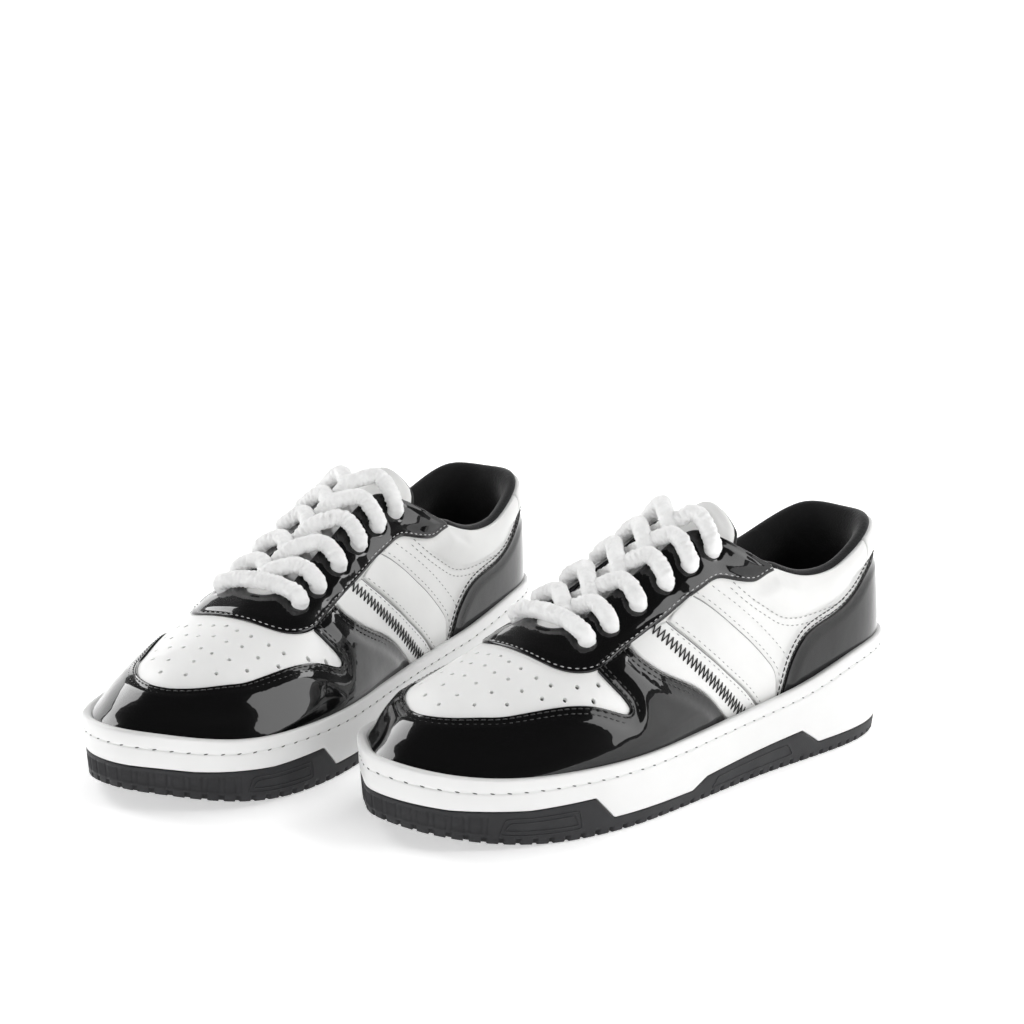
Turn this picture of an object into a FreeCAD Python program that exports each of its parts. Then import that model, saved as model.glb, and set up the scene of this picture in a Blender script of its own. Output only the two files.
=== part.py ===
import FreeCAD, Part
import Sketcher
import math
import os

# A pair of low-top lace-up court sneakers, left and right.
# Each shoe is described in its own frame first: x runs from the heel (0) to the
# toe, y to the outer (lateral) side, z up from the ground.  The row frame stands
# the pair on the ground with the toes towards -Y and the left shoe on +X.

V = FreeCAD.Vector
doc = FreeCAD.newDocument("ShoePair")

# ---------------------------------------------------------------- dimensions
sheet = doc.addObject("Spreadsheet::Sheet", "Dims")
DIMS = [
    ("ground_inset", 3.0), ("lip_wall", 2.6), ("upper_inset", 5.6), ("wall_mid_height", 30.0), ("wall_top_height", 60.0),
    ("layer_gap", 0.3), ("leather_thick", 1.3), ("overlay_thick", 1.2), ("lining_thick", 1.2), ("puff_thick", 1.2),
    ("counter_thick", 1.4), ("pad_thick", 4.2), ("board_thick", 1.6), ("board_inset", 10.4), ("sock_thick", 4.0), ("sock_inset", 11.0),
    ("block_height", 70.0), ("block_floor", 12.0), ("tread_depth", 1.6), ("tread_width", 3.0), ("tread_pitch", 12.0), ("tread_count", 15),
    ("lace_dia", 5.0), ("eyelet_dia", 7.4), ("aglet_len", 12.0), ("aglet_rad", 2.1), ("tongue_thick", 5.0),
    ("tongue_lining_thick", 1.0), ("row_shift_x", 67.85), ("row_shift_y", 169.53), ("right_yaw", 18.65),
    ("right_fwd", 75.4), ("right_side", -166.0),
]
for i, (name, val) in enumerate(DIMS):
    sheet.set("A%d" % (i + 1), name)
    sheet.set("B%d" % (i + 1), str(val))
    sheet.setAlias("B%d" % (i + 1), name)
doc.recompute()


def dim(name):
    return float(getattr(sheet, name))



# ---- small vector helpers ----
def vadd(a, b): return (a[0]+b[0], a[1]+b[1], a[2]+b[2])
def vsub(a, b): return (a[0]-b[0], a[1]-b[1], a[2]-b[2])
def vmul(a, k): return (a[0]*k, a[1]*k, a[2]*k)
def vdot(a, b): return a[0]*b[0]+a[1]*b[1]+a[2]*b[2]
def vcross(a, b): return (a[1]*b[2]-a[2]*b[1], a[2]*b[0]-a[0]*b[2], a[0]*b[1]-a[1]*b[0])
def vlen(a): return math.sqrt(vdot(a, a))
def vnorm(a):
    n = vlen(a) or 1.0
    return (a[0]/n, a[1]/n, a[2]/n)


class Spline:
    """Cubic spline through (x, y) pairs: natural ends, or periodic."""
    def __init__(self, xs, ys, periodic=False):
        if periodic:
            n = len(xs) - 1
            per = xs[-1] - xs[0]
            k = min(6, n)
            ex = [x - per for x in xs[n-k:n]] + list(xs) + [x + per for x in xs[1:k+1]]
            ey = list(ys[n-k:n]) + list(ys) + list(ys[1:k+1])
            self.per = per
            self.x0 = xs[0]
            xs, ys = ex, ey
        else:
            self.per = None
        self.xs, self.ys = list(xs), list(ys)
        n = len(xs)
        a = [0.0]*n; b = [1.0]*n; c = [0.0]*n; d = [0.0]*n
        for i in range(1, n-1):
            h0 = xs[i]-xs[i-1]; h1 = xs[i+1]-xs[i]
            a[i] = h0; b[i] = 2*(h0+h1); c[i] = h1
            d[i] = 6*((ys[i+1]-ys[i])/h1-(ys[i]-ys[i-1])/h0)
        for i in range(1, n):
            w = a[i]/b[i-1]
            b[i] -= w*c[i-1]; d[i] -= w*d[i-1]
        m = [0.0]*n
        m[-1] = d[-1]/b[-1]
        for i in range(n-2, -1, -1):
            m[i] = (d[i]-c[i]*m[i+1])/b[i]
        self.m = m

    def __call__(self, x):
        xs, ys, m = self.xs, self.ys, self.m
        if self.per:
            x = self.x0 + (x-self.x0) % self.per
        n = len(xs)
        if x <= xs[0]:
            h = xs[1]-xs[0]
            k = (ys[1]-ys[0])/h - h*(2*m[0]+m[1])/6.0
            return ys[0]+k*(x-xs[0])
        if x >= xs[-1]:
            h = xs[-1]-xs[-2]
            k = (ys[-1]-ys[-2])/h + h*(m[-2]+2*m[-1])/6.0
            return ys[-1]+k*(x-xs[-1])
        lo, hi = 0, n-1
        while hi-lo > 1:
            mid = (lo+hi)//2
            if xs[mid] <= x: lo = mid
            else: hi = mid
        h = xs[hi]-xs[lo]
        A = (xs[hi]-x)/h; B = (x-xs[lo])/h
        return A*ys[lo]+B*ys[hi]+((A**3-A)*m[lo]+(B**3-B)*m[hi])*h*h/6.0


# ---- sole outline (rim of the cupsole), heel at x = 0, lateral side +y ----
LAT = [(3.5, 16.5), (18, 30.0), (39.5, 37.2), (60, 39.8), (100, 42.8), (140, 48.2), (165, 51.9), (184, 53.8),
       (200, 53.7), (217, 51.4), (232, 47.6), (245, 42.4), (256, 35.8), (265, 28.0), (271.3, 19.2), (274.8, 10)]
MED = [(3.8, -15.5), (18.5, -29.2), (40, -34.7), (60, -35.6), (100, -36.0), (140, -40.3), (165, -44.2), (184, -47.4),
       (200, -48.8), (217, -48.2), (232, -45.8), (243.5, -41.9), (251.5, -37.2), (258.2, -31), (264.2, -23), (269.4, -14)]
RIM = [(0, 0.8)] + LAT + [(275.2, -2.0)] + MED[::-1] + [(0, 0.8)]


def closed_curve(pts):
    s = [0.0]
    for i in range(1, len(pts)):
        s.append(s[-1]+math.hypot(pts[i][0]-pts[i-1][0], pts[i][1]-pts[i-1][1]))
    return Spline(s, [p[0] for p in pts], True), Spline(s, [p[1] for p in pts], True), s[-1]


RX, RY, RL = closed_curve(RIM)
NR = 720
RIMP = [(RX(RL*i/NR), RY(RL*i/NR)) for i in range(NR)]
AREA = sum(RIMP[i][0]*RIMP[(i+1) % NR][1]-RIMP[(i+1) % NR][0]*RIMP[i][1] for i in range(NR))
RIMN = []
for i in range(NR):
    dx = RIMP[(i+1) % NR][0]-RIMP[i-1][0]
    dy = RIMP[(i+1) % NR][1]-RIMP[i-1][1]
    n = math.hypot(dx, dy)
    k = 1.0 if AREA > 0 else -1.0
    RIMN.append((dy/n*k, -dx/n*k))          # outward


def outline(inset, n=72):
    """Closed plan outline, moved in by inset, n points."""
    return [(RIMP[i*NR//n][0]-inset*RIMN[i*NR//n][0], RIMP[i*NR//n][1]-inset*RIMN[i*NR//n][1]) for i in range(n)]


def ray_outline(c, d, inset):
    """Where a ray from c along d leaves the inset outline."""
    best = None
    pts = [(RIMP[i][0]-inset*RIMN[i][0], RIMP[i][1]-inset*RIMN[i][1]) for i in range(NR)]
    for i in range(NR):
        a = pts[i]; b = pts[(i+1) % NR]
        ex, ey = b[0]-a[0], b[1]-a[1]
        den = d[0]*ey-d[1]*ex
        if abs(den) < 1e-12: continue
        t = ((a[0]-c[0])*ey-(a[1]-c[1])*ex)/den
        u = ((a[0]-c[0])*d[1]-(a[1]-c[1])*d[0])/den
        if t > 0 and -1e-9 <= u <= 1+1e-9:
            if best is None or t > best: best = t
    return (c[0]+best*d[0], c[1]+best*d[1])


rim_z = Spline([-20, 0, 40, 80, 130, 180, 220, 255, 276, 300], [39.8, 39.6, 37.5, 34.1, 31.1, 28.7, 27.9, 29.0, 32.5, 38.0])
lip_z = Spline([-20, 0, 20, 41, 60, 80, 100, 130, 180, 220, 255, 276, 300], [46.5, 46.0, 45.3, 43.2, 39.4, 35.4, 33.0, 31.1, 28.7, 27.9, 29.0, 32.5, 38.0])
floor_z = Spline([-20, 0, 40, 80, 130, 180, 220, 255, 276, 300], [29.2, 29.0, 27.5, 24.8, 22.2, 19.8, 18.6, 19.8, 23.2, 28.5])

IN = 5.6      # plan distance from the rim to the outer face of the base leather

HC = (42.0, 0.6)       # centre of the heel fan
TC = (229.0, -2.0)     # centre of the toe fan
S2 = math.sqrt(0.5)
# station: plan origin, plan direction, top point, bottom handle (length, lean out deg), top handle (length, rise deg), top direction
def stations():
    st = []
    def add(c, d, top, a, lean, b, rise, td=None):
        bp = ray_outline(c, d, IN)
        st.append((bp, d, top, a, lean, b, rise, td or (-d[0], -d[1])))
    heel = [(0, (12.5, 0.3, 95.5), 27, 4, 20, 88), (24, (14.5, 11.0, 95.9), 26, 4, 20, 86), (47, (20.7, 19.8, 95.0), 24, 3, 18, 84),
            (69, (30.5, 25.3, 90.4), 21, 2, 16, 82), (90, (43.0, 27.9, 84.4), 18, 0, 15, 81)]
    side = [(60, (58, 28.8, 79.3), 18, -2, 15, 81), (78, (74, 28.3, 79.5), 19, -3, 15, 80), (94, (88, 26.8, 84.4), 22, -3, 15, 77),
            (106, (99, 24.2, 90.2), 26, -2, 16, 70), (116, (108, 20.2, 95.8), 28, -1, 18, 60), (126, (116, 13.0, 100.0), 29, 0, 21, 42),
            (136, (125.5, 4.8, 100.6), 30, 0, 24, 17), (147, (138, 1.2, 95.0), 31, 0, 24, 7), (163, (156, 0.6, 85.4), 31, 1, 24, 3),
            (180, (175, 0.4, 75.6), 30, 1, 25, 2), (198, (194, 0.0, 66.4), 28, 0, 26, 1), (215, (212, -0.8, 58.9), 25, -2, 25, 1)]
    toe = [(90, (229, -2.0, 53.4), 20, -4, 23, 0), (68, (229.6, -2.0, 53.2), 17, -5, 22, 3), (45, (230.4, -2.0, 52.9), 15, -6, 21, 8),
           (22, (231.2, -2.0, 52.6), 13, -7, 20, 14), (0, (231.6, -2.0, 52.5), 12, -8, 20, 17)]
    for sgn in (1, -1):
        lst = []
        for ang, top, a, lean, b, rise in heel:
            r = math.radians(ang)
            lst.append((HC, (-math.cos(r), sgn*math.sin(r)), top, a, lean, b, rise))
        for x, top, a, lean, b, rise in side:
            lst.append(((x, 0.6), (0.0, 1.0*sgn), top, a, lean, b, rise))
        for ang, top, a, lean, b, rise in toe:
            r = math.radians(ang)
            lst.append((TC, (math.cos(r), sgn*math.sin(r)), top, a, lean, b, rise))
        if sgn == 1:
            for e in lst: add(*e)
        else:
            for c, d, top, a, lean, b, rise in lst[::-1][1:]:
                cy = {True: 0.6, False: 0.0}[top[0] < 60]
                # medial side: mirror the top point about the centreline
                if top[0] >= 125:
                    tp = (top[0], {True: 2*mid_y(top[0])-top[1], False: top[1]}[top[0] < 195], top[2])
                else:
                    tp = (top[0], 2*mid_y(top[0])-top[1], top[2])
                add(c, d, tp, a, lean, b, rise)
    return st


mid_y = Spline([0, 40, 80, 120, 150, 180, 200, 231], [0.3, 0.0, 0.2, 0.6, 0.6, 0.4, 0.0, -2.0])
STN = stations()
_ss = [0.0]
for i in range(1, len(STN)):
    a, b = STN[i-1][0], STN[i][0]
    _ss.append(_ss[-1]+math.hypot(b[0]-a[0], b[1]-a[1]))
_L = _ss[-1]
_ss = [x/_L for x in _ss]
_ss = [(_ss[i]+1-_ss[len(_ss)-1-i])/2 for i in range(len(_ss))]


def _per(f): return Spline(_ss, [f(e) for e in STN], True)


def _h(e):
    bp, d, top, a, lean, b, rise, td = e
    z0 = floor_z(bp[0])+1.2
    le = math.radians(lean); ri = math.radians(rise)
    p0 = (bp[0], bp[1], z0)
    p1 = (bp[0]+d[0]*a*math.sin(le), bp[1]+d[1]*a*math.sin(le), z0+a*math.cos(le))
    p2 = (top[0]+d[0]*b*math.cos(ri), top[1]+d[1]*b*math.cos(ri), top[2]-b*math.sin(ri))
    # along the top of the foot the spine falls towards the toe
    if top[0] >= 125:
        pass
    return p0, p1, p2, top


CTRL = [_h(e) for e in STN]
CS = [[Spline(_ss, [c[j][k] for c in CTRL], True) for k in range(3)] for j in range(4)]


def S(s, t):
    c = [[CS[j][k](s) for k in range(3)] for j in range(4)]
    u = 1-t
    w = (u*u*u, 3*u*u*t, 3*u*t*t, t*t*t)
    return tuple(sum(w[j]*c[j][k] for j in range(4)) for k in range(3))


def N(s, t):
    e = 1e-3
    t = min(t, 0.97)
    a = vsub(S(s+e, t), S(s-e, t))
    b = vsub(S(s, t+e), S(s, t-e))
    return vnorm(vcross(b, a))


def P(s, t, d=0.0):
    return vadd(S(s, t), vmul(N(s, t), d))
# ------------------------------------------------------- helpers: placement
SX, SY, YAW = dim("row_shift_x"), dim("row_shift_y"), dim("right_yaw")
LEFT_PL = FreeCAD.Placement(V(SX, SY, 0), FreeCAD.Rotation(V(0, 0, 1), -90))
_rot = FreeCAD.Rotation(V(0, 0, 1), YAW)
_c = V(-SX, SY, 0)
RIGHT_PL = FreeCAD.Placement(V(dim("right_side") + SX, -dim("right_fwd") + SY, 0) - _rot.multVec(_c), _rot)
NODES = []


def keep(obj, name):
    """Name a finished left-shoe piece and place it."""
    obj.Label = "left_" + name
    obj.Placement = LEFT_PL
    NODES.append((obj, name))
    return obj


# ------------------------------------------------------- helpers: sole bodies
def origin_plane(body, role):
    for f in body.Origin.OriginFeatures:
        if f.Role == role:
            return f


def sketch_on(body, name, role, off=0.0, expr=None):
    s = body.newObject("Sketcher::SketchObject", name)
    s.AttachmentSupport = [(origin_plane(body, role), "")]
    s.MapMode = "FlatFace"
    s.AttachmentOffset = FreeCAD.Placement(V(0, 0, off), FreeCAD.Rotation())
    if expr:
        s.setExpression("AttachmentOffset.Base.z", expr)
    return s


def add_outline(s, inset, n=48):
    c = Part.BSplineCurve()
    c.interpolate(Points=[V(x, y, 0) for x, y in outline(inset, n)], PeriodicFlag=True)
    s.addGeometry(c, False)


def add_region(s, curve, zfar):
    """Closed side-view region between a height curve and a far level."""
    pts = [V(x, z, 0) for x, z in curve]
    if len(pts) > 2:
        c = Part.BSplineCurve()
        c.interpolate(Points=pts)
        s.addGeometry(c, False)
    a, b = pts[0], pts[-1]
    s.addGeometry(Part.LineSegment(b, V(b.x, zfar, 0)), False)
    s.addGeometry(Part.LineSegment(V(b.x, zfar, 0), V(a.x, zfar, 0)), False)
    s.addGeometry(Part.LineSegment(V(a.x, zfar, 0), a), False)


def add_poly(s, pts):
    pts = [V(x, z, 0) for x, z in pts]
    for i in range(len(pts)):
        s.addGeometry(Part.LineSegment(pts[i], pts[(i + 1) % len(pts)]), False)


def pocket_side(body, name, s):
    """Cut a side-view region right across the piece."""
    before = body.Tip.Shape.Volume if body.Tip else 0
    p = body.newObject("PartDesign::Pocket", name)
    p.Profile = s
    p.Type = "ThroughAll"
    p.SideType = "Symmetric"
    doc.recompute()
    if not p.Shape.Volume < before - 1.0:
        raise RuntimeError("pocket %s removed nothing" % name)
    return p


def wall_block(name):
    """The sole's outer wall: outline at the ground, at mid height and above."""
    b = doc.addObject("PartDesign::Body", name)
    s1 = sketch_on(b, name + "_s0", "XY_Plane")
    add_outline(s1, dim("ground_inset"))
    s2 = sketch_on(b, name + "_s1", "XY_Plane", dim("wall_mid_height"), "Dims.wall_mid_height")
    add_outline(s2, 0.0)
    s3 = sketch_on(b, name + "_s2", "XY_Plane", dim("wall_top_height"), "Dims.wall_top_height")
    add_outline(s3, dim("ground_inset"))
    l = b.newObject("PartDesign::AdditiveLoft", name + "_loft")
    l.Profile = s1
    l.Sections = [s2, s3]
    l.Ruled = True
    doc.recompute()
    return b


XS = [-12 + 12.5 * i for i in range(25)]


def bottom_z(x):
    """Underside: flat to the ball of the foot, then a gentle toe spring."""
    if x > 212:
        u = (x - 212) / 64.0
        return 8.0 * u * u
    if x < 14:
        u = (14 - x) / 26.0
        return 1.8 * u * u
    return 0.0


# line between the dark outsole and the white wall, seen from the side
SEAM = [(-15, 6.6), (66, 6.6), (79, 14.2), (143, 9.6), (152, 5.6), (198, 6.0), (208, 15.6), (235, 14.6), (262, 16.0), (292, 20.5)]

# ---- outsole
ob = wall_block("left_outsole_body")
s = sketch_on(ob, "outsole_top", "XZ_Plane")
add_poly(s, SEAM + [(292, 95), (-15, 95)])
pocket_side(ob, "outsole_top_cut", s)
s = sketch_on(ob, "outsole_toe", "XZ_Plane")
add_region(s, [(x, bottom_z(x)) for x in [212, 220, 230, 240, 250, 260, 270, 280, 292]], -12)
pocket_side(ob, "outsole_toe_cut", s)
s = sketch_on(ob, "outsole_heel", "XZ_Plane")
add_region(s, [(x, bottom_z(x)) for x in [-14, -8, 0, 6, 14]], -12)
pocket_side(ob, "outsole_heel_cut", s)
s = sketch_on(ob, "tread", "XZ_Plane")
tw, tdp = dim("tread_width"), dim("tread_depth")
add_poly(s, [(22, -4), (22 + tw, -4), (22 + tw, tdp), (22, tdp)])
before = ob.Tip.Shape.Volume
tp = ob.newObject("PartDesign::Pocket", "tread_cut")
tp.Profile = s
tp.Type = "ThroughAll"
tp.SideType = "Symmetric"
doc.recompute()
assert tp.Shape.Volume < before - 1
pat = ob.newObject("PartDesign::LinearPattern", "tread_pattern")
pat.Originals = [tp]
pat.Direction = (origin_plane(ob, "X_Axis"), [""])
pat.Mode = "Spacing" if "Mode" in pat.PropertiesList else pat.Mode
pat.setExpression("Offset", "Dims.tread_pitch")
pat.setExpression("Occurrences", "Dims.tread_count")
ob.Tip = pat
doc.recompute()
keep(ob, "outsole")

# ---- midsole cup
mb = wall_block("left_midsole_block")
s = sketch_on(mb, "mid_top", "XZ_Plane")
add_region(s, [(x, lip_z(x)) for x in XS], 95)
pocket_side(mb, "mid_top_cut", s)
s = sketch_on(mb, "mid_bottom", "XZ_Plane")
g = dim("layer_gap")
add_poly(s, [(x, z + g) for x, z in SEAM] + [(292, -12), (-15, -12)])
pocket_side(mb, "mid_bottom_cut", s)


def floor_body(name, inset, low, high):
    """A layer that follows the footbed: outline prism between two height curves."""
    b = doc.addObject("PartDesign::Body", name)
    s = sketch_on(b, name + "_s", "XY_Plane", dim("block_floor"), "Dims.block_floor")
    add_outline(s, inset)
    p = b.newObject("PartDesign::Pad", name + "_pad")
    p.Profile = s
    p.setExpression("Length", "Dims.block_height")
    doc.recompute()
    s = sketch_on(b, name + "_lo", "XZ_Plane")
    add_region(s, [(x, low(x)) for x in XS], -15)
    pocket_side(b, name + "_lo_cut", s)
    if high:
        s = sketch_on(b, name + "_hi", "XZ_Plane")
        add_region(s, [(x, high(x)) for x in XS], 120)
        pocket_side(b, name + "_hi_cut", s)
    return b


rb = floor_body("left_cup_recess", dim("lip_wall"), floor_z, None)
mid = doc.addObject("Part::Cut", "left_midsole")
mid.Base = mb
mid.Tool = rb
doc.recompute()
keep(mid, "midsole")

bt, stk = dim("board_thick"), dim("sock_thick")
keep(floor_body("left_insole_board_body", dim("board_inset"), lambda x: floor_z(x) + g, lambda x: floor_z(x) + g + bt), "insole_board")
keep(floor_body("left_sockliner_body", dim("sock_inset"), lambda x: floor_z(x) + 2 * g + bt, lambda x: floor_z(x) + 2 * g + bt + stk), "sockliner")


# ------------------------------------------------------- helpers: upper panels
def bsurf(grid):
    s = Part.BSplineSurface()
    s.interpolate([[V(*p) for p in row] for row in grid])
    return s


def skin(outer, inner):
    """Solid between two point grids: two spline faces and four ruled sides."""
    a, b = bsurf(outer), bsurf(inner)
    ua0, ua1, va0, va1 = a.bounds()
    ub0, ub1, vb0, vb1 = b.bounds()
    faces = [a.toShape(), b.toShape()]
    for ea, eb in ((a.uIso(ua0), b.uIso(ub0)), (a.uIso(ua1), b.uIso(ub1)), (a.vIso(va0), b.vIso(vb0)), (a.vIso(va1), b.vIso(vb1))):
        faces.append(Part.makeRuledSurface(ea.toShape(), eb.toShape()))
    c = Part.makeCompound(faces)
    c.sewShape(0.001)
    sh = c.Shells[0] if c.Shells else Part.Shell(c.Faces)
    so = Part.makeSolid(sh)
    if so.Volume < 0:
        so.reverse()
    return so


def chaikin(pts, k=2):
    for _ in range(k):
        q = [pts[0]]
        for i in range(len(pts) - 1):
            a, b = pts[i], pts[i + 1]
            q.append((a[0] * .75 + b[0] * .25, a[1] * .75 + b[1] * .25))
            q.append((a[0] * .25 + b[0] * .75, a[1] * .25 + b[1] * .75))
        q.append(pts[-1])
        pts = q
    return pts


class Path:
    """Polyline with rounded corners, walked by its length (s and t scaled to mm)."""
    def __init__(self, pts, k=2, ks=640.0, kt=75.0):
        self.p = chaikin(pts, k) if k else list(pts)
        self.d = [0.0]
        for i in range(1, len(self.p)):
            self.d.append(self.d[-1] + math.hypot((self.p[i][0] - self.p[i - 1][0]) * ks, (self.p[i][1] - self.p[i - 1][1]) * kt))

    def __call__(self, u):
        x = min(max(u, 0.0), 1.0) * self.d[-1]
        for i in range(1, len(self.d)):
            if x <= self.d[i] or i == len(self.d) - 1:
                h = self.d[i] - self.d[i - 1] or 1.0
                k = (x - self.d[i - 1]) / h
                a, b = self.p[i - 1], self.p[i]
                return (a[0] + (b[0] - a[0]) * k, a[1] + (b[1] - a[1]) * k)


def coons(bottom, top, left, right, nu, nv):
    g = []
    c00, c10, c01, c11 = bottom(0), bottom(1), top(0), top(1)
    for i in range(nu + 1):
        u = i / nu
        row = []
        for j in range(nv + 1):
            v = j / nv
            a, b, c, d = bottom(u), top(u), left(v), right(v)
            row.append(tuple((1 - v) * a[k] + v * b[k] + (1 - u) * c[k] + u * d[k]
                             - ((1 - u) * (1 - v) * c00[k] + u * (1 - v) * c10[k] + (1 - u) * v * c01[k] + u * v * c11[k]) for k in (0, 1)))
        g.append(row)
    return g


def mirror_st(pts):
    return [(1 - s, t) for s, t in pts]


def on_surface(g, d):
    f = d if callable(d) else (lambda s, t: d)
    return [[P(s, t, f(s, t)) for s, t in row] for row in g]


def panel(name, g, d_out, d_in, keepit=True):
    so = skin(on_surface(g, d_out), on_surface(g, d_in))
    o = doc.addObject("Part::Feature", "left_" + name)
    o.Shape = so
    if keepit:
        keep(o, name)
    return o


LTH, OTH, LIN = dim("leather_thick"), dim("overlay_thick"), dim("lining_thick")
OV = (g + OTH, g)                       # overlay layer: outer, inner offset
BASE = (0.0, -LTH)                      # base leather layer
STIFF = (-LTH - g, -LTH - g - dim("counter_thick"))
LIN_OUT = -LTH - 2 * g - dim("counter_thick")

# seam lines of the upper on the lateral side, as (place along, height share)
CAP_REAR = [(.2215, .022), (.2295, .054), (.2413, .129), (.253, .194), (.2668, .255), (.2833, .318), (.296, .382), (.3060, .464), (.3098, .520), (.3106, .545)]
WINDOW = [(.3106, .545), (.325, .540), (.3375, .530), (.3344, .435), (.3279, .341), (.3245, .275), (.3290, .272), (.3375, .312), (.3484, .372), (.3593, .418),
          (.3793, .483), (.3979, .540), (.4291, .570), (.4604, .590), (.5, .605)]
BAND1 = [(.187, .022), (.1947, .07), (.2066, .16), (.2216, .233), (.2375, .293), (.2509, .351), (.2618, .419), (.2729, .5), (.2785, .548)]
BAND2 = [(.1740, .022), (.1740, .18), (.1760, .26), (.1868, .331), (.2049, .419), (.2242, .483), (.2403, .523), (.2500, .572)]
EYE_LOW = [(.1735, .985), (.1754, .951), (.1928, .795), (.2002, .75), (.2122, .721), (.2208, .707), (.2309, .682), (.2412, .633), (.2529, .596), (.2592, .592),
           (.2795, .574), (.2912, .570), (.3002, .568), (.312, .566), (.3201, .562), (.3291, .560), (.3391, .563)]
HEEL_TOP = [(.1690, .10), (.1639, .184), (.1603, .275), (.1528, .395), (.1432, .494), (.1294, .559), (.1124, .591), (.0934, .622), (.0807, .655), (.0700, .715),
            (.050, .752), (.025, .770), (0.0, .775)]

# ---- toe cap
top = Path(WINDOW + mirror_st(WINDOW)[::-1][1:])
lef = Path(CAP_REAR)
rig = Path(mirror_st(CAP_REAR))
bot = Path([(.2215, .022), (.7785, .022)], 0)
panel("toe_cap", coons(bot, top, lef, rig, 72, 8), *OV)

# ---- side bands, lateral and medial
def band(name, front, rear, side):
    f, r = Path(front), Path(rear)
    g2 = []
    for i in range(7):
        u = i / 6.0
        g2.append([((1 - u) * f(v)[0] + u * r(v)[0], (1 - u) * f(v)[1] + u * r(v)[1]) for v in [j / 16.0 for j in range(17)]])
    if side < 0:
        g2 = [[(1 - s_, t_) for s_, t_ in row] for row in g2]
    panel(name, g2, *OV)


for side, tag in ((1, "lateral"), (-1, "medial")):
    band("front_band_" + tag, [(s_ - .0014, t_) for s_, t_ in CAP_REAR], BAND1, side)
    band("rear_band_" + tag, [(s_ - .0014, t_) for s_, t_ in BAND1], BAND2, side)

# ---- heel overlay
ht = Path(HEEL_TOP + [(-s_, t_) for s_, t_ in HEEL_TOP][::-1][1:])
panel("heel_overlay", [[((1 - v) * .169 * (1 - 2 * u) + v * ht(u)[0], (1 - v) * .022 + v * ht(u)[1]) for v in [j / 8.0 for j in range(9)]]
                       for u in [i / 48.0 for i in range(49)]], *OV)


# ---- base leather: quarters and heel tab
def lerp(tab, x):
    for i in range(1, len(tab)):
        if x <= tab[i][0]:
            a, b = tab[i - 1], tab[i]
            return a[1] + (b[1] - a[1]) * (x - a[0]) / (b[0] - a[0])
    return tab[-1][1]


QTOP = [(.07, .985), (.172, .975), (.185, .93), (.1960, .86), (.2122, .79), (.2309, .735), (.2450, .675), (.2592, .645), (.2795, .630), (.34, .62)]
qs = [.0725 + (.3215 - .0725) * i / 30.0 for i in range(31)]
for side, tag in ((1, "lateral"), (-1, "medial")):
    g2 = [[(s_ if side > 0 else 1 - s_, .022 + (lerp(QTOP, s_) - .022) * j / 10.0) for j in range(11)] for s_ in qs]
    panel("quarter_" + tag, g2, *BASE)
panel("heel_tab", [[(s_, .022 + .963 * j / 10.0) for j in range(11)] for s_ in [-.0705 + .141 * i / 16.0 for i in range(17)]], *BASE)


# ---- toe region above the foot: plan positions mapped to the surface
def to_st(x, y):
    best = None
    for (s_, t_, px, py) in TOE_TAB:
        d = (px - x) ** 2 + (py - y) ** 2
        if best is None or d < best[0]:
            best = (d, s_, t_)
    s_, t_ = best[1], best[2]
    for _ in range(12):
        p = S(s_, t_)
        e = 5e-4
        a = vmul(vsub(S(s_ + e, t_), S(s_ - e, t_)), .5 / e)
        t2 = min(t_ + e, 1.0)
        b = vmul(vsub(S(s_, t2), S(s_, t2 - 2 * e)), .5 / e)
        det = a[0] * b[1] - b[0] * a[1]
        if abs(det) < 1e-3:
            break
        rx, ry = x - p[0], y - p[1]
        ds = (rx * b[1] - b[0] * ry) / det
        dt = (a[0] * ry - a[1] * rx) / det
        m = max(abs(ds) / .01, abs(dt) / .05, 1.0)
        s_ += ds / m
        t_ = min(max(t_ + dt / m, 0.0), 1.0)
    return s_, t_


TOE_TAB = []
for i in range(0, 101):
    for j in range(0, 31):
        s_, t_ = .26 + .48 * i / 100.0, .15 + .85 * j / 30.0
        p = S(s_, t_)
        TOE_TAB.append((s_, t_, p[0], p[1]))


def plan_pt(x, y, d):
    s_, t_ = to_st(x, y)
    return P(s_, t_, d)


def edge_plan(s_, t_):
    p = S(s_, t_)
    return (p[0], p[1])


def toe_sheet(name, te, sr, xr, d_out, d_in):
    """Domed piece over the toes: side edge at height share te, rear edge at xr."""
    right = Path([edge_plan(sr + (.44 - sr) * i / 12.0, te) for i in range(13)], 0, 1, 1)
    left = Path([edge_plan(1 - (sr + (.44 - sr) * i / 12.0), te) for i in range(13)], 0, 1, 1)
    front = Path([edge_plan(.44 + .12 * i / 12.0, te) for i in range(13)][::-1], 0, 1, 1)
    a, b = left(0), right(0)
    rear = Path([a, (a[0] + .35 * (xr - a[0]), a[1] * .86), (xr, -18), (xr, 18), (b[0] + .35 * (xr - b[0]), b[1] * .86), b], 2, 1, 1)
    gp = coons(rear, front, left, right, 12, 14)
    mid_d = None
    o = []
    for d in (d_out, d_in):
        o.append([[plan_pt(x, y, d) for x, y in row] for row in gp])
    so = skin(o[0], o[1])
    f = doc.addObject("Part::Feature", "left_" + name)
    f.Shape = so
    keep(f, name)


toe_sheet("vamp", .335, .3285, 197.5, BASE[0] - .3, BASE[1])
toe_sheet("vamp_lining", .30, .3300, 199.0, LIN_OUT + 1.4, LIN_OUT + 1.4 - LIN)

# ---- toe puff and heel counter, the hidden stiffeners
panel("toe_puff", [[(.3250 + .35 * i / 40.0, .022 + .280 * j / 4.0) for j in range(5)] for i in range(41)], 0.0, -dim("puff_thick"))
panel("heel_counter", [[(-.13 + .26 * i / 30.0, .03 + .50 * j / 6.0) for j in range(7)] for i in range(31)], *STIFF)

# ---- collar padding and linings
PAD = dim("pad_thick")


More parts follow.
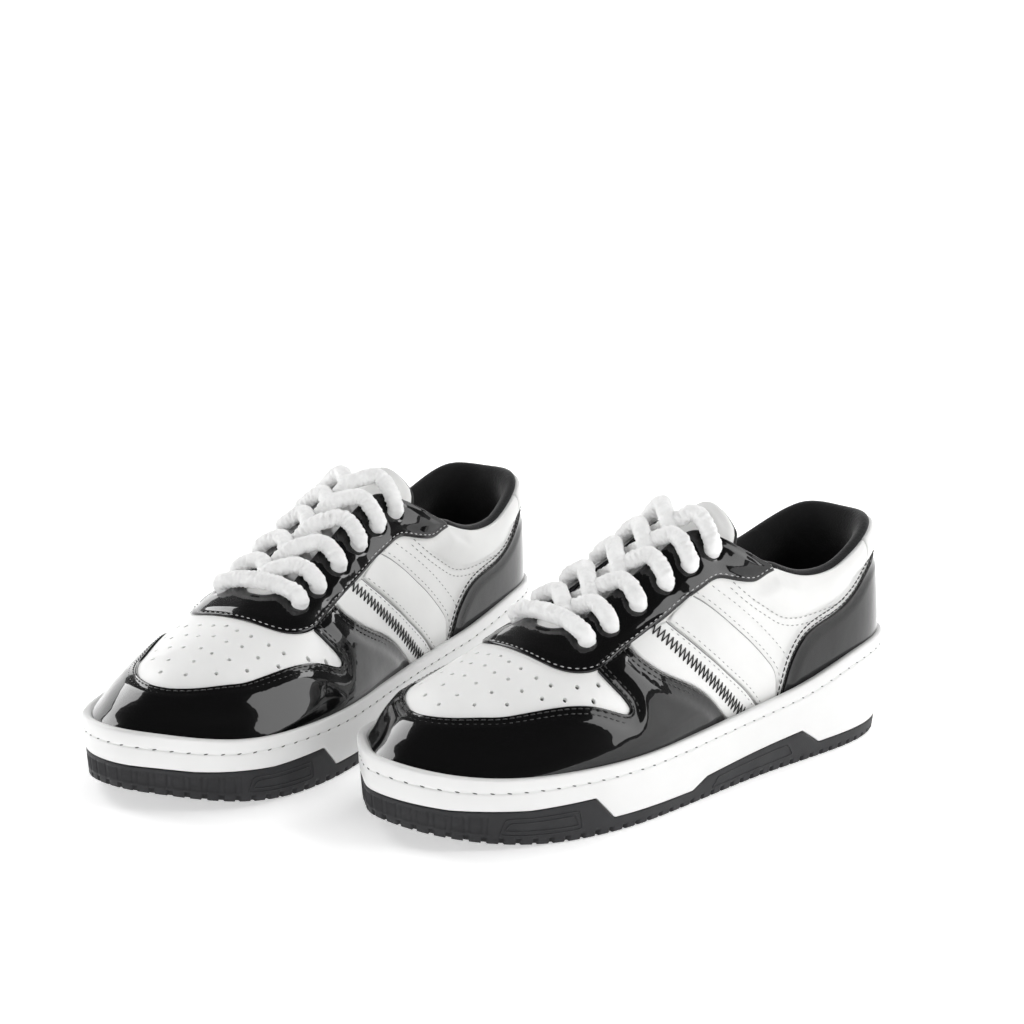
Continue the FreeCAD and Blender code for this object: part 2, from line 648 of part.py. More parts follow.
def pad_w(s_, t_):
    a = abs(s_ if s_ < .5 else s_ - 1)
    k = min(max((.205 - a) / .075, 0.0), 1.0)
    k = k * k * (3 - 2 * k)
    q = min(max((t_ - .56) / .41, 0.0), 1.0)
    return .5 + (PAD - .5) * k * math.sin(math.pi * q) ** 1.0 if 0 < q < 1 else .5


ps = [-.2 + .4 * i / 40.0 for i in range(41)]
ptop = [(-.3, .95), (.172, .945), (.19, .88), (.201, .84)]
panel("collar_padding", [[(s_, .585 + (lerp(ptop, abs(s_)) - .585) * j / 10.0) for j in range(11)] for s_ in ps],
      -LTH - g, lambda s_, t_: -LTH - g - pad_w(s_, t_))
CT = [(-.3, .965), (.172, .955), (.19, .88), (.201, .84), (.216, .79)]


def lin_d(s_, t_):
    return min(LIN_OUT, -LTH - 2 * g - pad_w(s_, t_))


cs = [-.214 + .428 * i / 44.0 for i in range(45)]
panel("collar_lining", [[(s_, .03 + (lerp(CT, abs(s_)) - .03) * j / 14.0) for j in range(15)] for s_ in cs],
      lin_d, lambda s_, t_: lin_d(s_, t_) - LIN)
LTOP = [(.2, .79), (.2309, .72), (.2450, .665), (.2592, .635), (.2795, .62), (.34, .61)]
ls = [.2160 + (.3270 - .2160) * i / 14.0 for i in range(15)]
for side, tag in ((1, "lateral"), (-1, "medial")):
    panel("side_lining_" + tag, [[(s_ if side > 0 else 1 - s_, .03 + (lerp(LTOP, s_) - .03) * j / 8.0) for j in range(9)] for s_ in ls],
          LIN_OUT, LIN_OUT - LIN)

# ---- eyestay: U around the throat, ends in a wing at the collar
LEGS = [((.1780, .985), (.1757, .945)), ((.1880, .985), (.1850, .865)), ((.1980, .985), (.1935, .790)), ((.2100, .985), (.2060, .736)), ((.2220, .985), (.2180, .711)),
        ((.2338, .972), (.2309, .682)), ((.2482, .915), (.2440, .625)), ((.2640, .885), (.2600, .592)), ((.2795, .875), (.2770, .574)), ((.2950, .875), (.2935, .570)),
        ((.3090, .872), (.3085, .566)), ((.3210, .865), (.3200, .562))]
FRONT = [((184.6, 10.5), (192.0, 31.2)), ((187.6, 8.8), (198.8, 28.4)), ((190.0, 6.0), (203.9, 22.6)), ((191.3, 3.2), (206.6, 12.0)), ((191.6, 0.3), (207.4, 0.2))]
NE = 5
rows = []
for a, b in LEGS:
    rows.append([(a[0] + (b[0] - a[0]) * j / NE, a[1] + (b[1] - a[1]) * j / NE) for j in range(NE + 1)])
for a, b in FRONT:
    rows.append([to_st(a[0] + (b[0] - a[0]) * j / NE, a[1] + (b[1] - a[1]) * j / NE) for j in range(NE + 1)])
rows += [mirror_st(r) for r in rows[:-1][::-1]]
eso = skin(on_surface(rows, OV[0]), on_surface(rows, OV[1]))
EYE = [(.3335, .728), (.3154, .712), (.2927, .710), (.2694, .712), (.2502, .735), (.2310, .832)]
for s_, t_ in EYE:
    for q in (s_, 1 - s_):
        n = N(q, t_)
        a = P(q, t_, -5.0)
        eso = eso.cut(Part.makeCylinder(dim("eyelet_dia") / 2, 12.0, V(*a), V(*n)))
eo = doc.addObject("Part::Feature", "left_eyestay")
eo.Shape = eso.Solids[0] if len(eso.Solids) == 1 else eso
keep(eo, "eyestay")

# ---- tongue
SPINE = Spline([100, 104, 110, 118, 125.5, 138, 156, 175, 194, 212], [117.5, 115.5, 111.5, 106.4, 101.6, 95.0, 85.4, 75.6, 66.4, 58.9])
HALF = Spline([100, 106, 118, 127, 135, 160, 185, 200], [12.6, 13.2, 14.0, 15.2, 16.8, 18.4, 19, 19])
TT, TL = dim("tongue_thick"), dim("tongue_lining_thick")


ARCH = Spline([100, 110, 119, 130, 145, 160, 200], [18, 19, 19.5, 16.5, 12.5, 9.5, 8.5])


def tongue_z(x, y):
    return SPINE(x) - 9.2 - ARCH(x) * (y / 20.0) ** 2


def tongue_sheet(name, drop, thick, x0, k):
    xs = [x0 + (199.0 - x0) * i / 16.0 for i in range(17)]
    o = []
    for dz in (drop, drop + thick):
        o.append([[(x, HALF(x) * k * (j - 5) / 5.0 + .2, tongue_z(x, HALF(x) * k * (j - 5) / 5.0) - dz) for j in range(11)] for x in xs])
    f = doc.addObject("Part::Feature", "left_" + name)
    f.Shape = skin(o[0], o[1])
    keep(f, name)


tongue_sheet("tongue", 0.0, TT, 102.0, 1.0)
tongue_sheet("tongue_lining", TT + g, TL, 104.0, .95)

# ---- lace, one round cord through twelve eyelets
LD = dim("lace_dia")
MY = .2


def spine_s(x, y, d):
    """Point above the throat: the bridged surface there."""
    return (x, y, SPINE(x) - 5.6 * (y / 20.0) ** 2 + d)


def eyel(side, i, d):
    s_, t_ = EYE[i]
    return P(s_ if side > 0 else 1 - s_, t_, d)


route = []


def strand(side, i, up):
    """From under eyelet i on one side, through the throat, over to eyelet i+1 on the other."""
    a, b = eyel(side, i, 0), eyel(-side, i + 1, 0)
    xm = (a[0] + b[0]) / 2
    return [eyel(side, i, 6.0), eyel(side, i, -3.5),
            spine_s(a[0] - 1.5, side * 7.0 + MY, -4.2),
            spine_s(xm + .5, MY + side * 0.3, 4.8 if up else -1.2),
            spine_s(b[0] + 2.0, -side * 10.8 + MY, 6.6)]


def half(side):
    pts = []
    sd = side
    for i in range(5):
        pts += strand(sd, i, (i % 2 == 0) == (side > 0))
        sd = -sd
    e = eyel(sd, 5, 0)
    pts += [eyel(sd, 5, 6.0), eyel(sd, 5, -3.5), spine_s(e[0] - 3.0, sd * 9.3 + MY, -7.6), spine_s(e[0] - 9.5, sd * 6.0 + MY, -6.2)]
    return pts


e1 = eyel(1, 0, 0)
bar = [spine_s(e1[0] + .8, 9.5, 6.3), spine_s(e1[0] + 1.2, -9.5, 6.3)]
hl, hm = half(1), half(-1)
route = hl[::-1] + bar + hm


def tube(points, d, name):
    pts = [V(*p) for p in points]
    edges = []
    radii = []
    cur = pts[0]
    for i in range(1, len(pts) - 1):
        a, b, c = pts[i - 1], pts[i], pts[i + 1]
        u, w = (a - b), (c - b)
        la, lc = u.Length, w.Length
        u.normalize()
        w.normalize()
        ang = math.pi - u.getAngle(w)
        short = min(la, lc)
        if ang < .02:
            continue
        r = .45 * short / math.tan(ang / 2)
        tl = .45 * short
        p1, p2 = b + u * tl, b + w * tl
        bis = (u + w)
        bis.normalize()
        mid_ = b + bis * (r / math.cos(ang / 2) - r)
        radii.append(r)
        if (p1 - cur).Length > 1e-4:
            edges.append(Part.LineSegment(cur, p1).toShape())
        edges.append(Part.Arc(p1, mid_, p2).toShape())
        cur = p2
    edges.append(Part.LineSegment(cur, pts[-1]).toShape())
    w = Part.Wire(edges)
    t0 = (pts[1] - pts[0])
    circ = Part.Wire([Part.Circle(pts[0], t0, d / 2).toShape()])
    so = w.makePipeShell([circ], True, False)
    if so.Volume < 0:
        so.reverse()
    print("%s: length %.1f mm, volume %.1f against %.1f, radii %.1f to %.1f, valid %s"
          % (name, w.Length, so.Volume, w.Length * math.pi * d * d / 4, min(radii), max(radii), so.isValid()))
    return so, w


lso, lw = tube(route, LD, "lace")
lo = doc.addObject("Part::Feature", "left_lace")
lo.Shape = lso if not lso.Solids else lso.Solids[0]
keep(lo, "lace")

# ---- aglets: one moulded tip on each end of the lace
ag = []
for k, (p, q) in enumerate(((route[0], route[1]), (route[-1], route[-2]))):
    d = vnorm(vsub(p, q))
    a = vadd(p, vmul(d, .3))
    cy = doc.addObject("Part::Cone", "left_aglet_%d" % k)
    cy.setExpression("Radius1", "Dims.aglet_rad")
    cy.Radius2 = dim("aglet_rad") * .8
    cy.setExpression("Height", "Dims.aglet_len * 0.6")
    cy.Placement = FreeCAD.Placement(V(*a), FreeCAD.Rotation(V(0, 0, 1), V(*d)))
    ag.append(cy)
ac = doc.addObject("Part::Compound", "left_aglets")
ac.Links = ag
doc.recompute()
keep(ac, "aglets")

doc.recompute()

# ------------------------------------------------------- right shoe, mirrored
RIGHT = []
for obj, name in NODES:
    m = doc.addObject("Part::Mirroring", "right_" + name)
    m.Source = obj
    m.Normal = V(1, 0, 0)
    m.Base = V(0, 0, 0)
    m.Label = "right_" + name
    m.Placement = RIGHT_PL
    RIGHT.append((m, name))
doc.recompute()

# ------------------------------------------------------- check and write
bad = []
for o in doc.Objects:
    if any(w in ("Invalid", "Error") for w in o.State):
        bad.append(o.Name)
out = [("left_" + n, o) for o, n in NODES] + [("right_" + n, o) for o, n in RIGHT]
for n, o in out:
    sh = o.Shape
    if sh.isNull() or not sh.isValid() or sh.Volume <= 0 or not sh.Solids:
        bad.append(n)
    if o.Label != n:
        bad.append("label " + n)
box = FreeCAD.BoundBox()
for n, o in out:
    box.add(o.Shape.BoundBox)
    print("%-28s solids %d faces %4d volume %9.1f box %s" % (n, len(o.Shape.Solids), len(o.Shape.Faces), o.Shape.Volume, [round(v, 1) for v in
          (o.Shape.BoundBox.XMin, o.Shape.BoundBox.YMin, o.Shape.BoundBox.ZMin, o.Shape.BoundBox.XMax, o.Shape.BoundBox.YMax, o.Shape.BoundBox.ZMax)]))
print("pair box", [round(v, 2) for v in (box.XMin, box.XMax, box.YMin, box.YMax, box.ZMin, box.ZMax)], "centre", round((box.XMin + box.XMax) / 2, 3), round((box.YMin + box.YMax) / 2, 3))
print("lace route")
print([tuple(round(c, 2) for c in p) for p in route])
if bad:
    raise RuntimeError("failed: %s" % bad)
os.makedirs("parts", exist_ok=True)
for n, o in out:
    o.Shape.exportStep(os.path.join("parts", n + ".step"))
print("wrote", len(out), "parts")
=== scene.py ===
"""Looks for the pair of court shoes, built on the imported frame. Millimetres in the left shoe's own
frame (heel at x = 0, toe along +x, lateral side +y, +z up) until the last step, which turns them into
the row frame in metres; the right shoe is the mirror image, placed as in the CAD."""

import math

import bpy
import numpy as np
from mathutils import Matrix, Vector
from mathutils.geometry import delaunay_2d_cdt


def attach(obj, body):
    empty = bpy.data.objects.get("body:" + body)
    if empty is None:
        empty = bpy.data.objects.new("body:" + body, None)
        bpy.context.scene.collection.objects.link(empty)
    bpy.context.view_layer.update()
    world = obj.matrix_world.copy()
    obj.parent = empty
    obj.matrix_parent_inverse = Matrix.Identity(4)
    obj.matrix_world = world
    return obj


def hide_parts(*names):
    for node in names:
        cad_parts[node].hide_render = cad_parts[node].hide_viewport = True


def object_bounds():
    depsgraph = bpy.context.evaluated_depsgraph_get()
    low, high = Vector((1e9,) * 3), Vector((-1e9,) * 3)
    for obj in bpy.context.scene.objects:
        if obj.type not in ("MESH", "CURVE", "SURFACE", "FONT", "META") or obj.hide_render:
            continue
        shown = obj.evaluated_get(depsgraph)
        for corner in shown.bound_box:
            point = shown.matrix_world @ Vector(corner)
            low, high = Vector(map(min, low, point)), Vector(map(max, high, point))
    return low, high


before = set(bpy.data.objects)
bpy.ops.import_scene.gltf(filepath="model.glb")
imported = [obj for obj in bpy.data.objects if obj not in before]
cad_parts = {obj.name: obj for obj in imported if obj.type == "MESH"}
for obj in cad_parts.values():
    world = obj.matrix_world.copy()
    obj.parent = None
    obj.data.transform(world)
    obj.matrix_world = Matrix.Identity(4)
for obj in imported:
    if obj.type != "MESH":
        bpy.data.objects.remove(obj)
BOX0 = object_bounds()
BOX0 = [list(BOX0[0]), list(BOX0[1])]
rng = np.random.default_rng(7)
scene = bpy.context.scene

# ------------------------------------------------------------------ placement
SX, SY = 67.85, 169.53
YAW = math.radians(18.65)
RSIDE, RFWD = -166.0, 75.4


def left_world(p):
    p = np.asarray(p, float)
    return np.stack([p[..., 1] + SX, -p[..., 0] + SY, p[..., 2]], -1) / 1000.0


def right_world(p):
    p = np.asarray(p, float)
    c, s = math.cos(YAW), math.sin(YAW)
    qx, qy = -p[..., 1], -p[..., 0]
    return np.stack([c * qx - s * qy + RSIDE + SX, s * qx + c * qy - RFWD + SY, p[..., 2]], -1) / 1000.0


# ------------------------------------------------------------------ camera
def make_camera():
    cam = bpy.data.objects.new("Camera", bpy.data.cameras.new("Camera"))
    scene.collection.objects.link(cam)
    r = (-0.76436659, 0.64413706, 0.02883003)
    d = (0.11032111, 0.17470455, -0.97842096)
    f = (-0.63527394, -0.74469173, -0.20460023)

    def turn(v, k=1.0):
        return Vector((v[1] * k, -v[0] * k, v[2] * k))
    x, y, z = turn(r), turn(d, -1.0), turn(f, -1.0)
    m = Matrix(((x[0], y[0], z[0]), (x[1], y[1], z[1]), (x[2], y[2], z[2])))
    loc = left_world((672.75143819, 542.9612542, 265.32414984))
    cam.matrix_world = Matrix.Translation(Vector(loc)) @ m.to_4x4()
    cam.data.sensor_width = 36.0
    cam.data.lens = 36.0 * 1910.9339 / 1024.0
    cam.data.clip_start, cam.data.clip_end = 0.01, 60.0
    scene.camera = cam
    return cam


make_camera()


# ------------------------------------------------------------------ splines
class Spline:
    """Cubic spline through (x, y) pairs: natural ends, or periodic. Takes arrays."""
    def __init__(self, xs, ys, periodic=False):
        if periodic:
            n = len(xs) - 1
            per = xs[-1] - xs[0]
            k = min(6, n)
            ex = [x - per for x in xs[n - k:n]] + list(xs) + [x + per for x in xs[1:k + 1]]
            ey = list(ys[n - k:n]) + list(ys) + list(ys[1:k + 1])
            self.per, self.x0 = per, xs[0]
            xs, ys = ex, ey
        else:
            self.per = None
        xs, ys = np.array(xs, float), np.array(ys, float)
        n = len(xs)
        a, b, c, d = np.zeros(n), np.ones(n), np.zeros(n), np.zeros(n)
        for i in range(1, n - 1):
            h0, h1 = xs[i] - xs[i - 1], xs[i + 1] - xs[i]
            a[i], b[i], c[i] = h0, 2 * (h0 + h1), h1
            d[i] = 6 * ((ys[i + 1] - ys[i]) / h1 - (ys[i] - ys[i - 1]) / h0)
        for i in range(1, n):
            w = a[i] / b[i - 1]
            b[i] -= w * c[i - 1]
            d[i] -= w * d[i - 1]
        m = np.zeros(n)
        m[-1] = d[-1] / b[-1]
        for i in range(n - 2, -1, -1):
            m[i] = (d[i] - c[i] * m[i + 1]) / b[i]
        self.xs, self.ys, self.m = xs, ys, m

    def __call__(self, x):
        x = np.asarray(x, float)
        if self.per:
            x = self.x0 + np.mod(x - self.x0, self.per)
        xs, ys, m = self.xs, self.ys, self.m
        i = np.clip(np.searchsorted(xs, x, side="right") - 1, 0, len(xs) - 2)
        h = xs[i + 1] - xs[i]
        xc = np.clip(x, xs[0], xs[-1])
        A, B = (xs[i + 1] - xc) / h, (xc - xs[i]) / h
        y = A * ys[i] + B * ys[i + 1] + ((A ** 3 - A) * m[i] + (B ** 3 - B) * m[i + 1]) * h * h / 6.0
        k0 = (ys[1] - ys[0]) / (xs[1] - xs[0]) - (xs[1] - xs[0]) * (2 * m[0] + m[1]) / 6.0
        k1 = (ys[-1] - ys[-2]) / (xs[-1] - xs[-2]) + (xs[-1] - xs[-2]) * (m[-2] + 2 * m[-1]) / 6.0
        return y + np.where(x < xs[0], k0 * (x - xs[0]), 0) + np.where(x > xs[-1], k1 * (x - xs[-1]), 0)


# ------------------------------------------------------------------ sole outline and upper surface
LAT = [(3.5, 16.5), (18, 30.0), (39.5, 37.2), (60, 39.8), (100, 42.8), (140, 48.2), (165, 51.9), (184, 53.8),
       (200, 53.7), (217, 51.4), (232, 47.6), (245, 42.4), (256, 35.8), (265, 28.0), (271.3, 19.2), (274.8, 10)]
MED = [(3.8, -15.5), (18.5, -29.2), (40, -34.7), (60, -35.6), (100, -36.0), (140, -40.3), (165, -44.2), (184, -47.4),
       (200, -48.8), (217, -48.2), (232, -45.8), (243.5, -41.9), (251.5, -37.2), (258.2, -31), (264.2, -23), (269.4, -14)]
RIM = [(0, 0.8)] + LAT + [(275.2, -2.0)] + MED[::-1] + [(0, 0.8)]
_d = [0.0]
for _i in range(1, len(RIM)):
    _d.append(_d[-1] + math.hypot(RIM[_i][0] - RIM[_i - 1][0], RIM[_i][1] - RIM[_i - 1][1]))
RX, RY, RL = Spline(_d, [p[0] for p in RIM], True), Spline(_d, [p[1] for p in RIM], True), _d[-1]
NR = 720
_u = RL * np.arange(NR) / NR
RIMP = np.stack([RX(_u), RY(_u)], -1)
_t = np.roll(RIMP, -1, 0) - np.roll(RIMP, 1, 0)
_t /= np.linalg.norm(_t, axis=1)[:, None]
_area = np.sum(RIMP[:, 0] * np.roll(RIMP, -1, 0)[:, 1] - np.roll(RIMP, -1, 0)[:, 0] * RIMP[:, 1])
RIMN = np.stack([_t[:, 1], -_t[:, 0]], -1) * (1.0 if _area > 0 else -1.0)


def rim_at(u):
    """Plan point and outward plan direction of the outline at length u (array)."""
    u = np.mod(u, RL)
    e = 0.6
    p = np.stack([RX(u), RY(u)], -1)
    t = np.stack([RX(u + e) - RX(u - e), RY(u + e) - RY(u - e)], -1)
    t /= np.linalg.norm(t, axis=-1)[..., None]
    n = np.stack([t[..., 1], -t[..., 0]], -1) * (1.0 if _area > 0 else -1.0)
    return p, n


def ray_outline(c, d, inset):
    best = None
    pts = RIMP - inset * RIMN
    for i in range(NR):
        a, b = pts[i], pts[(i + 1) % NR]
        ex, ey = b[0] - a[0], b[1] - a[1]
        den = d[0] * ey - d[1] * ex
        if abs(den) < 1e-12:
            continue
        t = ((a[0] - c[0]) * ey - (a[1] - c[1]) * ex) / den
        u = ((a[0] - c[0]) * d[1] - (a[1] - c[1]) * d[0]) / den
        if t > 0 and -1e-9 <= u <= 1 + 1e-9 and (best is None or t > best):
            best = t
    return (c[0] + best * d[0], c[1] + best * d[1])


rim_z = Spline([-20, 0, 40, 80, 130, 180, 220, 255, 276, 300], [39.8, 39.6, 37.5, 34.1, 31.1, 28.7, 27.9, 29.0, 32.5, 38.0])
lip_z = Spline([-20, 0, 20, 41, 60, 80, 100, 130, 180, 220, 255, 276, 300], [46.5, 46.0, 45.3, 43.2, 39.4, 35.4, 33.0, 31.1, 28.7, 27.9, 29.0, 32.5, 38.0])
floor_z = Spline([-20, 0, 40, 80, 130, 180, 220, 255, 276, 300], [29.2, 29.0, 27.5, 24.8, 22.2, 19.8, 18.6, 19.8, 23.2, 28.5])
mid_y = Spline([0, 40, 80, 120, 150, 180, 200, 231], [0.3, 0.0, 0.2, 0.6, 0.6, 0.4, 0.0, -2.0])
IN, HC, TC = 5.6, (42.0, 0.6), (229.0, -2.0)


def stations():
    st = []

    def add(c, d, top, a, lean, b, rise):
        st.append((ray_outline(c, d, IN), d, top, a, lean, b, rise))
    heel = [(0, (12.5, 0.3, 95.5), 27, 4, 20, 88), (24, (14.5, 11.0, 95.9), 26, 4, 20, 86), (47, (20.7, 19.8, 95.0), 24, 3, 18, 84),
            (69, (30.5, 25.3, 90.4), 21, 2, 16, 82), (90, (43.0, 27.9, 84.4), 18, 0, 15, 81)]
    side = [(60, (58, 28.8, 79.3), 18, -2, 15, 81), (78, (74, 28.3, 79.5), 19, -3, 15, 80), (94, (88, 26.8, 84.4), 22, -3, 15, 77),
            (106, (99, 24.2, 90.2), 26, -2, 16, 70), (116, (108, 20.2, 95.8), 28, -1, 18, 60), (126, (116, 13.0, 100.0), 29, 0, 21, 42),
            (136, (125.5, 4.8, 100.6), 30, 0, 24, 17), (147, (138, 1.2, 95.0), 31, 0, 24, 7), (163, (156, 0.6, 85.4), 31, 1, 24, 3),
            (180, (175, 0.4, 75.6), 30, 1, 25, 2), (198, (194, 0.0, 66.4), 28, 0, 26, 1), (215, (212, -0.8, 58.9), 25, -2, 25, 1)]
    toe = [(90, (229, -2.0, 53.4), 20, -4, 23, 0), (68, (229.6, -2.0, 53.2), 17, -5, 22, 3), (45, (230.4, -2.0, 52.9), 15, -6, 21, 8),
           (22, (231.2, -2.0, 52.6), 13, -7, 20, 14), (0, (231.6, -2.0, 52.5), 12, -8, 20, 17)]
    for sgn in (1, -1):
        lst = []
        for ang, top, a, lean, b, rise in heel:
            r = math.radians(ang)
            lst.append((HC, (-math.cos(r), sgn * math.sin(r)), top, a, lean, b, rise))
        for x, top, a, lean, b, rise in side:
            lst.append(((x, 0.6), (0.0, 1.0 * sgn), top, a, lean, b, rise))
        for ang, top, a, lean, b, rise in toe:
            r = math.radians(ang)
            lst.append((TC, (math.cos(r), sgn * math.sin(r)), top, a, lean, b, rise))
        if sgn == 1:
            for e in lst:
                add(*e)
        else:
            for c, d, top, a, lean, b, rise in lst[::-1][1:]:
                my = float(mid_y(top[0]))
                if top[0] >= 125:
                    tp = (top[0], 2 * my - top[1] if top[0] < 195 else top[1], top[2])
                else:
                    tp = (top[0], 2 * my - top[1], top[2])
                add(c, d, tp, a, lean, b, rise)
    return st


STN = stations()
_ss = [0.0]
for _i in range(1, len(STN)):
    _ss.append(_ss[-1] + math.hypot(STN[_i][0][0] - STN[_i - 1][0][0], STN[_i][0][1] - STN[_i - 1][0][1]))
_ss = [x / _ss[-1] for x in _ss]
_ss = [(_ss[i] + 1 - _ss[len(_ss) - 1 - i]) / 2 for i in range(len(_ss))]


def _h(e):
    bp, d, top, a, lean, b, rise = e
    z0 = float(floor_z(bp[0])) + 1.2
    le, ri = math.radians(lean), math.radians(rise)
    return ((bp[0], bp[1], z0), (bp[0] + d[0] * a * math.sin(le), bp[1] + d[1] * a * math.sin(le), z0 + a * math.cos(le)),
            (top[0] + d[0] * b * math.cos(ri), top[1] + d[1] * b * math.cos(ri), top[2] - b * math.sin(ri)), top)


CTRL = [_h(e) for e in STN]
CS = [[Spline(_ss, [c[j][k] for c in CTRL], True) for k in range(3)] for j in range(4)]


def S(s, t):
    s, t = np.asarray(s, float), np.asarray(t, float)
    u = 1 - t
    w = (u * u * u, 3 * u * u * t, 3 * u * t * t, t * t * t)
    return np.stack([sum(w[j] * CS[j][k](s) for j in range(4)) for k in range(3)], -1)


def N(s, t):
    e = 1e-3
    t = np.minimum(np.asarray(t, float), 0.97)
    a = S(np.asarray(s) + e, t) - S(np.asarray(s) - e, t)
    b = S(s, t + e) - S(s, t - e)
    n = np.cross(b, a)
    return n / np.maximum(np.linalg.norm(n, axis=-1), 1e-9)[..., None]


def P(s, t, d=0.0):
    return S(s, t) + N(s, t) * np.asarray(d, float)[..., None]


_gs, _gt = np.meshgrid(np.linspace(.26, .74, 121), np.linspace(.12, 1.0, 45), indexing="ij")
_gs, _gt = _gs.ravel(), _gt.ravel()
_gp = S(_gs, _gt)[:, :2]


def to_st(x, y):
    """(s, t) of the surface point above a plan position near the toe (arrays)."""
    x, y = np.atleast_1d(np.asarray(x, float)), np.atleast_1d(np.asarray(y, float))
    s, t = np.empty_like(x), np.empty_like(x)
    for i in range(0, len(x), 400):
        d = (x[i:i + 400, None] - _gp[None, :, 0]) ** 2 + (y[i:i + 400, None] - _gp[None, :, 1]) ** 2
        j = np.argmin(d, 1)
        s[i:i + 400], t[i:i + 400] = _gs[j], _gt[j]
    for _ in range(14):
        p = S(s, t)
        e = 5e-4
        a = (S(s + e, t) - S(s - e, t)) * (.5 / e)
        t2 = np.minimum(t + e, 1.0)
        b = (S(s, t2) - S(s, t2 - 2 * e)) * (.5 / e)
        det = a[:, 0] * b[:, 1] - b[:, 0] * a[:, 1]
        ok = np.abs(det) > 1e-3
        det = np.where(ok, det, 1.0)
        rx, ry = x - p[:, 0], y - p[:, 1]
        ds = (rx * b[:, 1] - b[:, 0] * ry) / det
        dt = (a[:, 0] * ry - a[:, 1] * rx) / det
        m = np.maximum(np.maximum(np.abs(ds) / .01, np.abs(dt) / .05), 1.0)
        s = np.where(ok, s + ds / m, s)
        t = np.where(ok, np.clip(t + dt / m, 0.0, 1.0), t)
    return s, t


# ------------------------------------------------------------------ seam lines
CAP_REAR = [(.2215, .0), (.2295, .054), (.2413, .129), (.253, .194), (.2668, .255), (.2833, .318), (.296, .382), (.3060, .464), (.3098, .520), (.3112, .560), (.3122, .612)]
WINDOW = [(.3122, .612), (.325, .606), (.3400, .600), (.3385, .530), (.3344, .435), (.3279, .341), (.3245, .275), (.3290, .272), (.3375, .312), (.3484, .372), (.3593, .418),
          (.3793, .483), (.3979, .540), (.4291, .570), (.4604, .590), (.5, .605)]
BAND1 = [(.187, .0), (.1947, .07), (.2066, .16), (.2216, .233), (.2375, .293), (.2509, .351), (.2618, .419), (.2729, .5), (.2785, .56)]
BAND2 = [(.1740, .0), (.1740, .18), (.1760, .26), (.1868, .331), (.2049, .419), (.2242, .483), (.2403, .523), (.2500, .572), (.2560, .61)]
ZIG = [(.2903, .571), (.2803, .459), (.2674, .359), (.2522, .27), (.2336, .181), (.212, .062), (.2045, .02)]
EYE_LOW = [(.1735, .985), (.1754, .951), (.1928, .795), (.2002, .75), (.2122, .721), (.2208, .707), (.2309, .682), (.2412, .633), (.2529, .596), (.2592, .592),
           (.2795, .574), (.2912, .570), (.3002, .568), (.312, .566), (.3201, .562), (.3291, .560), (.3391, .563)]
HEEL_TOP = [(.1715, .0), (.1690, .08), (.1639, .184), (.1603, .275), (.1528, .395), (.1432, .494), (.1294, .559), (.1124, .591), (.0934, .622), (.0807, .655), (.0700, .715),
            (.050, .752), (.025, .770), (0.0, .775)]
SEAMC = [(.2194, .692), (.2097, .662), (.1981, .633), (.1831, .61), (.1696, .584), (.1555, .592), (.1416, .61), (.1254, .63), (.1051, .627), (.0889, .627)]
HOLES = [(194, 35), (199, 38), (202, 32), (209, 33), (210, 26), (216, 28), (212, 20), (220, 21), (213, 12), (220, 13), (228, 22), (213, 5), (221, 6),
         (229, 14), (238, 15), (230, 6), (212, -1), (220, -1), (246, 4), (239, 6), (229, -2), (237, -5), (244, -7)]
KS, KT = 640.0, 75.0


def chaikin(pts, k=3):
    pts = [np.array(p, float) for p in pts]
    for _ in range(k):
        q = [pts[0]]
        for a, b in zip(pts[:-1], pts[1:]):
            q += [a * .75 + b * .25, a * .25 + b * .75]
        pts = q + [pts[-1]]
    return np.array(pts)


def resample(pts, step, closed=False):
    pts = np.asarray(pts, float)
    if closed:
        pts = np.vstack([pts, pts[:1]])
    d = np.concatenate([[0], np.cumsum(np.linalg.norm(np.diff(pts, axis=0), axis=1))])
    keep = np.concatenate([[True], np.diff(d) > 1e-9])
    pts, d = pts[keep], d[keep]
    n = max(2, int(round(d[-1] / step)))
    u = np.linspace(0, d[-1], n + 1)
    if closed:
        u = u[:-1]
    return np.stack([np.interp(u, d, pts[:, k]) for k in range(pts.shape[1])], -1)


def st_line(pts, k=3, mirror=False):
    """Rounded seam line in scaled (s, t)."""
    q = chaikin(pts, k) if k else np.array(pts, float)
    if mirror:
        q = np.stack([1 - q[:, 0], q[:, 1]], -1)
    return q * np.array([KS, KT])


def st_to3(q, d=0.0):
    return P(q[:, 0] / KS, q[:, 1] / KT, d)


_ra = np.arange(40) * math.pi / 20
_rp = np.vstack([np.stack([230.3 + r_ * np.cos(_ra), -2 + r_ * np.sin(_ra)], -1) for r_ in (9, 12, 15, 18)])
_rs, _rt = to_st(_rp[:, 0], _rp[:, 1])
_rq = S(_rs, _rt)


def _quad(x, y):
    x, y = x - 230.3, y + 2.0
    return np.stack([np.ones_like(x), x, y, x * x, x * y, y * y], -1)


_qc = np.linalg.lstsq(_quad(_rq[:, 0], _rq[:, 1]), _rq[:, 2], rcond=None)[0]


